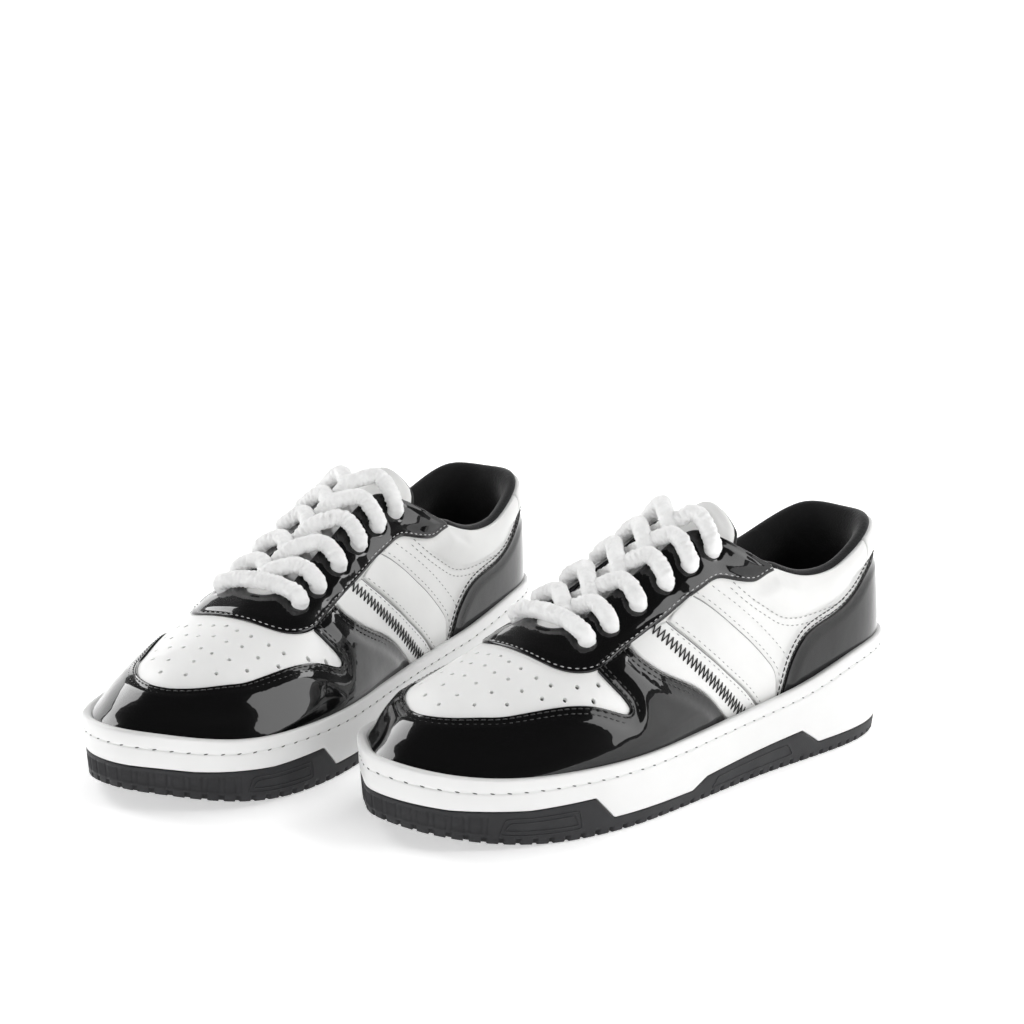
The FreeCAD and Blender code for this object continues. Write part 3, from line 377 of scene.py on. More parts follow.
def plan_to3(q, d=0.0):
    """Points above plan positions; the crown of the toe is a fitted smooth dome."""
    x, y = q[:, 0], q[:, 1]
    s, t = to_st(x, y)
    p = P(s, t, d)
    e = .05
    z = _quad(x, y) @ _qc
    gx = (_quad(x + e, y) @ _qc - _quad(x - e, y) @ _qc) / (2 * e)
    gy = (_quad(x, y + e) @ _qc - _quad(x, y - e) @ _qc) / (2 * e)
    n = np.stack([-gx, -gy, np.ones_like(gx)], -1)
    n /= np.linalg.norm(n, axis=1)[:, None]
    dome = np.stack([x, y, z], -1) + n * np.broadcast_to(np.asarray(d, float), x.shape)[:, None]
    r = np.hypot(np.maximum(np.abs(x - 230.3) - 1.3, 0), y + 2.0)
    k = np.clip((r - 8.0) / 6.0, 0, 1)
    k = (k * k * (3 - 2 * k))[:, None]
    return p * k + dome * (1 - k)


# ------------------------------------------------------------------ mesh output
MADE = []          # (name, verts, faces, material slots, face material ids, body, slot, nodes it stands for, smooth)
MATS = {}


def add_mesh(name, verts, faces, mat, body="shoe", slot=None, stands=(), mids=None, smooth=True, pad=None, subd=0):
    """Makes the left piece and its mirror image for the right shoe."""
    verts = np.asarray(verts, float)
    out = []
    for side in ("left", "right"):
        w = left_world(verts) if side == "left" else right_world(verts)
        f = faces if side == "left" else [tuple(x)[::-1] for x in faces]
        me = bpy.data.meshes.new(side + "_look_" + name)
        me.from_pydata([tuple(v) for v in w], [], [tuple(int(i) for i in x) for x in f])
        me.validate()
        ob = bpy.data.objects.new(side + "_look_" + name, me)
        scene.collection.objects.link(ob)
        for m in (mat if isinstance(mat, (list, tuple)) else [mat]):
            me.materials.append(MATS[m])
        if mids is not None:
            me.polygons.foreach_set("material_index", np.asarray(mids, dtype=np.int32))
        if smooth:
            me.polygons.foreach_set("use_smooth", [True] * len(me.polygons))
        me.update()
        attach(ob, side + ("_shoe" if body == "shoe" else "_tongue_body"))
        if stands:
            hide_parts(*[side + "_" + n for n in stands])
        if subd:
            md = ob.modifiers.new("sub", "SUBSURF")
            md.levels = md.render_levels = subd
        out.append(ob)
    return out


def dist_to_loops(q, loops):
    """Distance of each point to the nearest boundary segment."""
    best = np.full(len(q), 1e9)
    for lp in loops:
        a, b = lp, np.roll(lp, -1, 0)
        for i in range(0, len(q), 1500):
            qq = q[i:i + 1500, None, :]
            ab = (b - a)[None]
            h = np.clip(np.sum((qq - a[None]) * ab, -1) / np.maximum(np.sum(ab * ab, -1), 1e-12), 0, 1)
            dd = np.linalg.norm(qq - a[None] - h[..., None] * ab, axis=-1).min(1)
            best[i:i + 1500] = np.minimum(best[i:i + 1500], dd)
    return best


def panel2d(outline, holes=(), step=2.2, edge=1.3, rows=(0.25, 0.6, 1.1)):
    """Triangles inside a closed outline, with close rows of points along its edge."""
    loop = resample(outline, edge, True)
    loops = [loop] + [np.asarray(h, float) for h in holes]
    area = np.sum(loop[:, 0] * np.roll(loop, -1, 0)[:, 1] - np.roll(loop, -1, 0)[:, 0] * loop[:, 1])
    extra = []
    t = np.roll(loop, -1, 0) - np.roll(loop, 1, 0)
    t /= np.maximum(np.linalg.norm(t, axis=1), 1e-9)[:, None]
    n = np.stack([-t[:, 1], t[:, 0]], -1) * (1 if area > 0 else -1)
    for r in rows:
        q = loop + n * r
        d = dist_to_loops(q, loops)
        extra.append(q[d > r * .93])
    for h in loops[1:]:
        c = h.mean(0)
        for k_ in (1.18, 1.5, 2.0):
            extra.append(c + (h - c) * k_)
    lo, hi = loop.min(0), loop.max(0)
    gx = np.arange(lo[0] + step * .5, hi[0], step)
    gy = np.arange(lo[1] + step * .5, hi[1], step * .87)
    g = np.array([(x + (step * .5 if j % 2 else 0), y) for j, y in enumerate(gy) for x in gx])
    if len(g):
        d = dist_to_loops(g, loops)
        g = g[d > max(rows[-1] if rows else 0, .5) + step * .35 + (.4 if len(loops) > 1 else 0)]
    pts = np.vstack([*loops, *extra, g])
    edges = []
    k = 0
    for lp in loops:
        m = len(lp)
        edges += [(k + i, k + (i + 1) % m) for i in range(m)]
        k += m
    res = delaunay_2d_cdt([Vector(p) for p in pts], edges, [], 1, 1e-5)
    v = np.array([tuple(p) for p in res[0]])
    fs = [tuple(f) for f in res[2]]
    if len(loops) > 1:
        cen = np.array([v[list(f)].mean(0) for f in fs])
        gone = np.zeros(len(fs), bool)
        for h in loops[1:]:
            c = h.mean(0)
            gone |= np.linalg.norm(cen - c, axis=1) < np.linalg.norm(h - c, axis=1).max() * .97
        fs = [f for f, g_ in zip(fs, gone) if not g_]
    used = sorted({i for f in fs for i in f})
    new = {i: k for k, i in enumerate(used)}
    return v[used], [tuple(new[i] for i in f) for f in fs], loops


def skin_panel(name, outline, to3, mat, d_out, d_in, holes=(), step=2.2, edge=1.3, roundr=0.8, bulge=0.0, bulge_len=6.0, dfun=None, **kw):
    """Panel with thickness: outer face with rounded rim, and a wall down to the inner level."""
    q, faces, loops = panel2d(outline, holes, step, edge)
    dist = dist_to_loops(q, loops[:1])
    if len(loops) > 1:
        dh = dist_to_loops(q, loops[1:])
    r = min(roundr, d_out - d_in)
    x = np.clip(dist / r, 0, 1)
    drop = r * (1 - np.sqrt(np.maximum(0, 1 - (1 - x) ** 2)))
    d = d_out - drop + bulge * (1 - np.exp(-dist / bulge_len))
    if len(loops) > 1:
        d -= .10 * np.clip(1 - dh / .14, 0, 1)
    if dfun is not None:
        d = d + dfun(q, dist)
    p = to3(q, d)
    # orient the faces outwards
    tri = np.array([f[:3] for f in faces])
    nrm = np.cross(p[tri[:, 1]] - p[tri[:, 0]], p[tri[:, 2]] - p[tri[:, 0]])
    ref = to3(q[tri[:, 0]], np.full(len(tri), d_out + 1.0)) - to3(q[tri[:, 0]], np.full(len(tri), d_out))
    flip = np.sum(nrm * ref, 1) < 0
    faces = [f[::-1] if fl else f for f, fl in zip(faces, flip)]
    count = {}
    for f in faces:
        for i in range(len(f)):
            e = (f[i], f[(i + 1) % len(f)])
            count[e] = True
    border = [e for e in count if (e[1], e[0]) not in count]
    bi = sorted({i for e in border for i in e})
    low = {i: len(p) + k for k, i in enumerate(bi)}
    pl = to3(q[bi], np.full(len(bi), d_in))
    up = {i: len(p) + len(bi) + k for k, i in enumerate(bi)} if len(loops) > 1 else {i: i for i in bi}
    verts = np.vstack([p, pl] + ([p[bi]] if len(loops) > 1 else []))
    faces = faces + [(up[b], up[a], low[a], low[b]) for a, b in border]
    return add_mesh(name, verts, faces, mat, **kw)


# ------------------------------------------------------------------ materials
def material(name, color, rough, coat=0.0, coat_rough=0.03, sheen=0.0, sheen_rough=0.5, spec=0.5, bumps=(), var=None, rvar=0.0, speck=None):
    m = bpy.data.materials.new(name)
    m.use_nodes = True
    nt = m.node_tree
    n, l = nt.nodes, nt.links
    b = n["Principled BSDF"]
    tc = n.new("ShaderNodeTexCoord")
    obj = tc.outputs["Object"]
    b.inputs["Base Color"].default_value = (*color, 1)
    b.inputs["Roughness"].default_value = rough
    b.inputs["Specular IOR Level"].default_value = spec
    b.inputs["Coat Weight"].default_value = coat
    b.inputs["Coat Roughness"].default_value = coat_rough
    b.inputs["Coat IOR"].default_value = 1.42
    b.inputs["Sheen Weight"].default_value = sheen
    b.inputs["Sheen Roughness"].default_value = sheen_rough

    def tex(kind, scale, detail=3.0, stretch=None):
        src = obj
        if stretch:
            mp = n.new("ShaderNodeMapping")
            mp.inputs["Scale"].default_value = stretch
            l.new(src, mp.inputs["Vector"])
            src = mp.outputs["Vector"]
        if kind == "noise":
            t = n.new("ShaderNodeTexNoise")
            t.inputs["Scale"].default_value = scale
            t.inputs["Detail"].default_value = detail
            l.new(src, t.inputs["Vector"])
            return t.outputs["Fac"]
        if kind == "voronoi":
            t = n.new("ShaderNodeTexVoronoi")
            t.feature = "SMOOTH_F1"
            t.inputs["Scale"].default_value = scale
            l.new(src, t.inputs["Vector"])
            return t.outputs["Distance"]
        t = n.new("ShaderNodeTexWave")
        t.bands_direction = kind[-1].upper()
        t.inputs["Scale"].default_value = scale
        t.inputs["Distortion"].default_value = detail
        l.new(src, t.inputs["Vector"])
        return t.outputs["Fac"]

    if var:
        scale, dark, light = var
        r = n.new("ShaderNodeMapRange")
        l.new(tex("noise", scale, 5.0), r.inputs["Value"])
        r.inputs["From Min"].default_value, r.inputs["From Max"].default_value = 0.3, 0.7
        mx = n.new("ShaderNodeMix")
        mx.data_type = "RGBA"
        mx.inputs["A"].default_value = (*[c * dark for c in color], 1)
        mx.inputs["B"].default_value = (*[min(1, c * light) for c in color], 1)
        l.new(r.outputs["Result"], mx.inputs["Factor"])
        l.new(mx.outputs["Result"], b.inputs["Base Color"])
    if rvar:
        r = n.new("ShaderNodeMapRange")
        l.new(tex("noise", 55.0, 6.0), r.inputs["Value"])
        r.inputs["From Min"].default_value, r.inputs["From Max"].default_value = 0.3, 0.75
        r.inputs["To Min"].default_value, r.inputs["To Max"].default_value = max(0.02, rough - rvar), min(1.0, rough + rvar)
        l.new(r.outputs["Result"], b.inputs["Roughness"])
    prev = None
    for kind, scale, strength, dist, *rest in bumps:
        bp = n.new("ShaderNodeBump")
        bp.inputs["Strength"].default_value = strength
        bp.inputs["Distance"].default_value = dist
        l.new(tex(kind, scale, *rest), bp.inputs["Height"])
        if prev:
            l.new(prev, bp.inputs["Normal"])
        prev = bp.outputs["Normal"]
    if prev:
        l.new(prev, b.inputs["Normal"])
        if coat and not speck:
            l.new(prev, b.inputs["Coat Normal"])
    MATS[name] = m
    return m


material("white_leather", (.80, .80, .79), .40, spec=.45, bumps=[("voronoi", 1500, .10, .0002), ("noise", 380, .10, .0004, 4.0), ("noise", 60, .06, .002, 2.0)], var=(40, .965, 1.03), rvar=.07)
# a brighter copy of the white leather for the vamp alone: painted light, making up for the light the up-facing vamp
# misses under the dark upper world
material("vamp_leather", (.93, .93, .92), .40, spec=.45, bumps=[("voronoi", 1500, .10, .0002), ("noise", 380, .10, .0004, 4.0), ("noise", 60, .06, .002, 2.0)], var=(40, .975, 1.02), rvar=.07)
material("white_padded", (.80, .80, .79), .46, spec=.4, bumps=[("voronoi", 1300, .12, .0002), ("noise", 300, .14, .0005, 4.0), ("noise", 48, .12, .003, 2.0)], var=(35, .96, 1.03), rvar=.08)
material("black_patent", (.0022, .0022, .0024), .22, coat=1.0, coat_rough=.02, spec=.04, bumps=[("noise", 38, .10, .004, 1.5), ("noise", 130, .055, .0016, 2.0)], rvar=.04)
material("edge_black", (.006, .006, .006), .55, bumps=[("noise", 900, .3, .0003, 3.0)])
material("sidewall", (.78, .78, .775), .42, spec=.42, bumps=[("noise", 1500, .08, .0002, 4.0), ("noise", 90, .05, .001, 2.0)], var=(25, .97, 1.02), rvar=.06)
material("outsole_dark", (.021, .021, .023), .62, spec=.35, bumps=[("noise", 1300, .22, .0003, 4.0), ("noise", 200, .08, .0006, 2.0)], var=(60, .85, 1.18), rvar=.08)
material("lining_black", (.009, .009, .0095), .92, sheen=.35, sheen_rough=.4, spec=.2, bumps=[("noise", 1600, .5, .0004, 4.0), ("voronoi", 900, .3, .0003)], var=(80, .8, 1.3))
material("sock_textile", (.012, .012, .013), .95, sheen=.3, spec=.15, bumps=[("wavex", 360, .4, .0005, 1.0), ("wavey", 360, .4, .0005, 1.0)], var=(60, .85, 1.25))
material("rope", (.96, .96, .955), .95, sheen=.85, sheen_rough=.5, spec=.12, bumps=[("noise", 1700, .55, .0005, 6.0), ("noise", 520, .35, .0007, 3.0)], var=(240, .93, 1.04))
# white thread for the heel tab stitches, also used for the pale line below the eyestay, which is partly the leather's
# raw edge and partly a painted highlight
material("thread_white", (.74, .74, .73), .75, sheen=.2, bumps=[("wavex", 2500, .4, .0001, 0.5)])
# grey thread for the seams, also used for the grey line along the band edges, which is partly the leather's grey cut
# edge and partly painted shade in the crease
material("thread_grey", (.36, .36, .355), .8, bumps=[("wavex", 2500, .4, .0001, 0.5)])
# pale grey for the eyestay stitches: the thread is dark, and the pale colour is a painted highlight for the glints it
# catches on the patent
material("thread_pale", (.5, .5, .5), .5, coat=.3, coat_rough=.2, bumps=[("wavex", 2500, .4, .0001, 0.5)])
material("thread_dark", (.09, .09, .09), .7, bumps=[("wavex", 2500, .4, .0001, 0.5)])
material("thread_black", (.006, .006, .006), .42, coat=.25, coat_rough=.2, bumps=[("wavex", 2500, .5, .0001, 0.5)])
material("board", (.42, .34, .25), .85, bumps=[("noise", 700, .3, .0003, 5.0)], var=(120, .85, 1.15))
material("stiffener", (.62, .60, .54), .6, bumps=[("noise", 500, .2, .0003, 4.0)], var=(90, .93, 1.06))
material("clear_tip", (.75, .75, .75), .18, coat=.6, bumps=[("noise", 400, .05, .0003, 2.0)], rvar=.05)


# ------------------------------------------------------------------ small geometry: stitches and tubes
def frames(path, up=None):
    path = np.asarray(path, float)
    t = np.gradient(path, axis=0)
    t /= np.maximum(np.linalg.norm(t, axis=1), 1e-9)[:, None]
    if up is None:
        n = np.zeros_like(t)
        a = np.array([0, 0, 1.0]) if abs(t[0, 2]) < .9 else np.array([0, 1.0, 0])
        n[0] = a - t[0] * np.dot(a, t[0])
        n[0] /= np.linalg.norm(n[0])
        for i in range(1, len(t)):
            v = n[i - 1] - t[i] * np.dot(n[i - 1], t[i])
            n[i] = v / max(np.linalg.norm(v), 1e-9)
    else:
        n = up - t * np.sum(up * t, 1)[:, None]
        n /= np.maximum(np.linalg.norm(n, axis=1), 1e-9)[:, None]
    return t, n, np.cross(t, n)


def tube(path, rad, sides=8, up=None, rfun=None, flat=1.0):
    path = np.asarray(path, float)
    t, n, b = frames(path, up)
    a = np.arange(sides) * 2 * math.pi / sides
    r = np.broadcast_to(np.asarray(rad, float).reshape(-1, 1), (len(path), sides)).copy()
    if rfun is not None:
        r = r + rfun(np.arange(len(path))[:, None], a[None, :])
    v = path[:, None, :] + r[..., None] * (np.cos(a)[None, :, None] * b[:, None, :] + flat * np.sin(a)[None, :, None] * n[:, None, :])
    m = len(path)
    f = []
    for i in range(m - 1):
        for j in range(sides):
            k = (j + 1) % sides
            f.append((i * sides + j, i * sides + k, (i + 1) * sides + k, (i + 1) * sides + j))
    f.append(tuple(range(sides))[::-1])
    f.append(tuple((m - 1) * sides + j for j in range(sides)))
    return v.reshape(-1, 3), f


class Bag:
    """Collects many small meshes into one."""
    def __init__(self):
        self.v, self.f, self.n = [], [], 0

    def add(self, v, f):
        self.v.append(np.asarray(v))
        self.f += [tuple(i + self.n for i in x) for x in f]
        self.n += len(v)

    def make(self, name, mat, **kw):
        if self.n:
            add_mesh(name, np.vstack(self.v), self.f, mat, **kw)


def stitch(bag, line, normal, pitch=2.9, length=2.15, rad=.3, lift=.18, start=.5):
    """A row of single stitches along a line on the surface."""
    line, normal = np.asarray(line, float), np.asarray(normal, float)
    d = np.concatenate([[0], np.cumsum(np.linalg.norm(np.diff(line, axis=0), axis=1))])
    k = np.arange(int((d[-1] - pitch * .2) / pitch))
    if not len(k):
        return
    u = (k[:, None] + start) * pitch + np.linspace(-.5, .5, 5)[None, :] * length
    h = lift * np.cos(np.linspace(-.5, .5, 5) * math.pi)[None, :] - rad * .55
    c = np.stack([np.interp(u, d, line[:, i]) for i in range(3)], -1)
    nn = np.stack([np.interp(u, d, normal[:, i]) for i in range(3)], -1)
    nn /= np.linalg.norm(nn, axis=-1)[..., None]
    c = c + nn * h[..., None]
    t = np.gradient(c, axis=1)
    t /= np.maximum(np.linalg.norm(t, axis=-1), 1e-9)[..., None]
    b = np.cross(t, nn)
    a = np.arange(6) * math.pi / 3
    prof = np.array([.45, .9, 1.0, .9, .45]) * rad
    v = c[:, :, None, :] + prof[None, :, None, None] * (np.cos(a)[None, None, :, None] * b[:, :, None, :] + np.sin(a)[None, None, :, None] * nn[:, :, None, :])
    m = len(k)
    f = []
    for s_ in range(m):
        o = s_ * 30
        for i in range(4):
            for j in range(6):
                jj = (j + 1) % 6
                f.append((o + i * 6 + j, o + i * 6 + jj, o + (i + 1) * 6 + jj, o + (i + 1) * 6 + j))
        f.append(tuple(o + j for j in range(6))[::-1])
        f.append(tuple(o + 24 + j for j in range(6)))
    bag.add(v.reshape(-1, 3), f)


def shift_line(q, w):
    """Seam line in scaled (s, t), moved sideways along the surface by w mm."""
    s, t = q[:, 0] / KS, q[:, 1] / KT
    p = S(s, t)
    T = np.gradient(p, axis=0)
    T /= np.maximum(np.linalg.norm(T, axis=1), 1e-9)[:, None]
    n = N(s, t)
    B = np.cross(n, T)
    B /= np.maximum(np.linalg.norm(B, axis=1), 1e-9)[:, None]
    e = 1e-3
    a = (S(s + e, t) - S(s - e, t)) / (2 * e)
    t2 = np.minimum(t + e, 1.0)
    b = (S(s, t2) - S(s, t2 - 2 * e)) / (2 * e)
    aa, bb, ab = np.sum(a * a, 1), np.sum(b * b, 1), np.sum(a * b, 1)
    ra, rb = np.sum(a * B, 1) * w, np.sum(b * B, 1) * w
    det = aa * bb - ab * ab
    ds, dt = (ra * bb - rb * ab) / det, (aa * rb - ab * ra) / det
    return np.stack([(s + ds) * KS, (t + dt) * KT], -1)


def row_on(bag, q, d, **kw):
    """Stitch row along a scaled (s, t) line at height d."""
    q = resample(q, 1.0)
    s, t = q[:, 0] / KS, q[:, 1] / KT
    stitch(bag, P(s, t, d), N(s, t), **kw)


def mir(q):
    q = np.array(q, float)
    q[:, 0] = KS - q[:, 0]
    return q


BLACK, WHITE, GREY, PALE_GLINT = Bag(), Bag(), Bag(), Bag()

# ------------------------------------------------------------------ toe cap
rear_l, rear_r = st_line(CAP_REAR, 2), st_line(CAP_REAR, 2, True)
win = np.vstack([st_line(WINDOW, 3), st_line(WINDOW, 3, True)[::-1][1:]])
cap_edge = np.vstack([rear_l, win[1:], rear_r[::-1][1:]])
cap_edge = chaikin(resample(cap_edge, 2.0), 2)


def cap_d(q, dist):
    x = np.clip((dist - 3.6) / 3.2, 0, 1)
    a_ = np.abs(q[:, 0] / KS - .5)
    u = np.clip((q[:, 1] / KT - .545) / .03, 0, 1) * np.clip((a_ - .145) / .01, 0, 1)
    low = 1.7 * np.exp(-((q[:, 1] - 8.0) / 7.0) ** 2) * np.clip((.30 - a_) / .1, .35, 1)
    return low - 1.15 * u + .85 * x * x * (3 - 2 * x) * (1 - u) - .14 * np.exp(-((dist - 1.3) / .45) ** 2) - .14 * np.exp(-((dist - 3.1) / .45) ** 2)


skin_panel("toe_cap", cap_edge, st_to3, "black_patent", 1.5, .25, step=2.0, edge=1.1, roundr=.9, dfun=cap_d, slot="black_patent", stands=["toe_cap"])
for w in (1.45, 3.5):
    row_on(BLACK, shift_line(resample(win, 1.0), w), 1.5, pitch=2.7, length=2.1, rad=.33, lift=.2)
    row_on(BLACK, shift_line(resample(rear_l, 1.0), w), 1.5, pitch=2.7, length=2.1, rad=.33, lift=.2)
    row_on(BLACK, shift_line(resample(rear_r, 1.0), -w), 1.5, pitch=2.7, length=2.1, rad=.33, lift=.2)

# ------------------------------------------------------------------ vamp with punched holes
ws = np.linspace(.3205, .6795, 90)
winp = np.vstack([st_line(WINDOW, 3), st_line(WINDOW, 3, True)[::-1][1:]])


def win_t(s):
    """Height share of the window's lowest edge at s."""
    a = np.abs(s - .5)
    xs = np.array([0, .0396, .0709, .1021, .1207, .1407, .1516, .1625, .171, .1755, .185])
    ys = np.array([.605, .590, .570, .540, .483, .418, .372, .312, .272, .275, .30])
    return np.interp(a, xs, ys)


fr = S(ws, np.maximum(win_t(ws) - .075, .15))[:, :2]
rear = np.array([(190.0, -33.0), (186.5, -24), (184, -14), (184, 0), (184, 14), (186.5, 25), (190.0, 33.0)])
vo = np.vstack([fr, chaikin(np.vstack([fr[-1], rear, fr[0]]), 2)[1:-1]])
circ = np.arange(12) * math.pi / 6
holes = []
far = [(x, -y - 2.2) for x, y in HOLES if y > 2.5]
for x, y in HOLES + [p for p in far if min(math.hypot(p[0] - a, p[1] - b) for a, b in HOLES) > 5.5]:
    holes.append(np.stack([x + .82 * np.cos(circ), y + .82 * np.sin(circ)], -1))
# the vamp takes the brightened copy of the white leather: painted light
skin_panel("vamp", vo, plan_to3, "vamp_leather", 0.35, -1.2, holes=holes, step=2.0, edge=1.5, roundr=.3, bulge=.25, slot="white_leather", stands=["vamp"])

# ------------------------------------------------------------------ quarters, collar puff, heel tab
SC = Spline([-.3, .07, .0889, .1051, .1254, .1416, .1555, .1696, .1831, .1981, .2097, .2194, .24], [.735, .735, .70, .665, .645, .62, .598, .588, .61, .633, .662, .692, .75])


def seam_t(s):
    a = np.abs(np.where(s > .5, s - 1, s))
    return np.where(a < .0875, .735 - 0 * a, SC(np.maximum(a, .08)))


def puff(s, t):
    a = np.abs(np.where(s > .5, s - 1, s))
    ts = seam_t(s)
    k = np.clip((t - ts) / (1.0 - ts), 0, 1)
    te = np.interp(a, [.1735, .1754, .1928, .2002, .2122, .2208, .2309], [.985, .951, .795, .75, .721, .707, .682])
    fade = np.where(a > .150, np.clip((te - .03 - t) / .12, 0, 1), 1.0) * np.clip((.222 - a) / .03, 0, 1)
    fade = np.where((a > .150) & (a < .1735), np.maximum(fade, (.1735 - a) / .0235) * np.minimum(1, .25 + (.1735 - a) / .03 + fade), fade)
    k2 = np.clip((k - .07) / .93, 0, 1)
    return (2.9 * np.sin(math.pi * np.minimum(k2 * .92, 1)) ** .75 - .5 * np.exp(-((k - .07) * (1 - ts) * 75 / .9) ** 2)) * fade


QT = [(.0, .985), (.172, .985), (.185, .95), (.1960, .90), (.2122, .82), (.2309, .75), (.2450, .69), (.2592, .655), (.2795, .640), (.34, .63)]


def q_d(q, dist):
    s, t = q[:, 0] / KS, q[:, 1] / KT
    return puff(s, t)


for sgn, tag in ((1, "lateral"), (-1, "medial")):
    ss = np.linspace(.0718, .3225, 110)
    o = np.vstack([np.stack([ss, np.zeros_like(ss)], -1), np.stack([ss, np.interp(ss, [a for a, b in QT], [b for a, b in QT])], -1)[::-1]])
    if sgn < 0:
        o[:, 0] = 1 - o[:, 0]
    skin_panel("quarter_" + tag, o * np.array([KS, KT]), st_to3, "white_padded", 0.0, -1.3, step=1.9, edge=1.6, roundr=.7, dfun=q_d, slot="white_leather", stands=["quarter_" + tag])
    sl = st_line(SEAMC, 3)
    if sgn < 0:
        sl = mir(sl)
    row_on(GREY, shift_line(resample(sl, 1.0), -1.5 * sgn), .12, pitch=3.1, length=1.6, rad=.22, lift=.12)
    row_on(GREY, shift_line(resample(sl, 1.0), 1.5 * sgn), .12, pitch=3.1, length=1.6, rad=.22, lift=.12)
o = np.array([(-.0712, .5), (.0712, .5), (.0712, .985), (-.0712, .985)]) * np.array([KS, KT])
skin_panel("heel_tab", resample(o, 2.0, True), st_to3, "white_padded", 0.0, -1.3, step=1.9, edge=1.6, roundr=.7, dfun=q_d, slot="white_leather", stands=["heel_tab"])
for k in (-1, 1):
    row_on(WHITE, np.array([(.066 * k * KS, .78 * KT), (.066 * k * KS, .95 * KT)]), 1.6, pitch=3.0, length=2.0, rad=.26, lift=.12)

# ------------------------------------------------------------------ side bands
capr = np.array(CAP_REAR)
zl = st_line(ZIG, 2)
for sgn, tag in ((1, "lateral"), (-1, "medial")):
    b0 = chaikin([(s - .012, t) for s, t in CAP_REAR], 2)
    b1, b2 = chaikin(BAND1, 2), chaikin(BAND2, 2)

    def band(name, a, b, extra=0.0, stands=()):
        o = np.vstack([a, b[::-1]]) * np.array([KS, KT])
        if sgn < 0:
            o = mir(o)
        skin_panel(name, o, st_to3, "white_leather", 1.05, .1, step=1.8, edge=1.2, roundr=.8, bulge=.15, bulge_len=3.0, slot="white_leather", stands=stands)
    b0m = np.stack([chaikin(CAP_REAR, 2)[:, 0] - .0012, chaikin(CAP_REAR, 2)[:, 1]], -1)
    gap = np.array([.0019, 0])
    band("front_band_" + tag, b0m, b1 + gap * .4, stands=["front_band_" + tag])
    band("rear_band_" + tag, b1 - gap * .8, b2, stands=["rear_band_" + tag])
    for src, ws_ in ((b1, (-2.2, 1.9)), (b2, (-2.0, -9.5))):
        q = resample(src * np.array([KS, KT]), 1.0)
        for w in ws_:
            qq = shift_line(q, w)
            if sgn < 0:
                qq = mir(qq)
            keep = qq[:, 1] > 1.0
            row_on(GREY, qq[keep], 1.17 if w < 0 or src is b1 else .12, pitch=3.1, length=1.35, rad=.2, lift=.1)
        # grey line along the band's seam: partly the leather's grey cut edge, partly painted shade in the crease at the
        # edge
        ql = shift_line(q, 0.0 if src is b1 else -.35)
        if sgn < 0:
            ql = mir(ql)
        ql = resample(ql[ql[:, 1] > .5], 1.0)
        pv, pf = tube(P(ql[:, 0] / KS, ql[:, 1] / KT, .25), .26, 6)
        GREY.add(pv, pf)
    # black zigzag on the front band
    z = resample(zl, 1.27)
    off = np.where(np.arange(len(z)) % 2 == 0, 2.15, -2.15)
    q = np.empty_like(z)
    za, zb = shift_line(z, 2.75), shift_line(z, -2.75)
    q[0::2], q[1::2] = za[0::2], zb[1::2]
    if sgn < 0:
        q = mir(q)
    q = resample_pts = q
    s, t = q[:, 0] / KS, q[:, 1] / KT
    nn = N(s, t)
    pp = P(s, t, 1.24)
    for i in range(len(pp) - 1):
        seg = np.linspace(0, 1, 4)[:, None]
        path = pp[i] * (1 - seg) + pp[i + 1] * seg
        path = path + nn[i] * (np.array([-.12, .16, .16, -.12])[:, None])
        v, f = tube(path, .30, 5)
        BLACK.add(v, f)

# ------------------------------------------------------------------ heel overlay
ho = np.vstack([st_line(HEEL_TOP, 2), mir(st_line(HEEL_TOP, 2))[::-1][1:]])
hl = st_line(HEEL_TOP, 2)
hfull = np.vstack([hl, np.stack([-hl[::-1][1:, 0], hl[::-1][1:, 1]], -1)])


def heel_d(q, dist):
    x = np.clip((dist - 3.4) / 3.0, 0, 1)
    return .6 * x * x * (3 - 2 * x) - .14 * np.exp(-((dist - 1.3) / .45) ** 2)


skin_panel("heel_overlay", hfull, st_to3, "black_patent", 1.5, .25, step=2.0, edge=1.1, roundr=.9, dfun=heel_d, slot="black_patent", stands=["heel_overlay"])
for w in (1.4, 3.4):
    row_on(BLACK, shift_line(resample(hfull, 1.0), w), 1.5, pitch=2.7, length=2.1, rad=.33, lift=.2)

# ------------------------------------------------------------------ eyestay
LEGS = [((.1780, .985), (.1757, .945)), ((.1880, .985), (.1850, .865)), ((.1980, .985), (.1935, .790)), ((.2100, .985), (.2060, .736)), ((.2220, .985), (.2180, .711)),
        ((.2338, .972), (.2309, .682)), ((.2482, .915), (.2440, .625)), ((.2640, .885), (.2600, .592)), ((.2795, .875), (.2770, .574)), ((.2950, .875), (.2935, .570)),
        ((.3090, .872), (.3085, .566)), ((.3210, .865), (.3200, .562))]
FRONT = [((184.6, 10.5), (192.0, 31.2)), ((187.6, 8.8), (198.8, 28.4)), ((190.0, 6.0), (203.9, 22.6)), ((191.3, 3.2), (206.6, 12.0)), ((191.6, 0.3), (207.4, 0.2))]
EYE = [(.3335, .728), (.3154, .712), (.2927, .710), (.2694, .712), (.2502, .735), (.2310, .832)]
NE = 6
rows = []
for a, b in LEGS:
    rows.append([(a[0] + (b[0] - a[0]) * j / NE, a[1] + (b[1] - a[1]) * j / NE) for j in range(NE + 1)])
for a, b in FRONT:
    s, t = to_st([a[0] + (b[0] - a[0]) * j / NE for j in range(NE + 1)], [a[1] + (b[1] - a[1]) * j / NE for j in range(NE + 1)])
    rows.append(list(zip(s, t)))
rows += [[(1 - s, t) for s, t in r] for r in rows[:-1][::-1]]
G = np.array(rows)                                   # (rows, NE+1, 2)
G3 = P(G[..., 0], G[..., 1], 0.0)
GN = N(G[..., 0], G[..., 1])


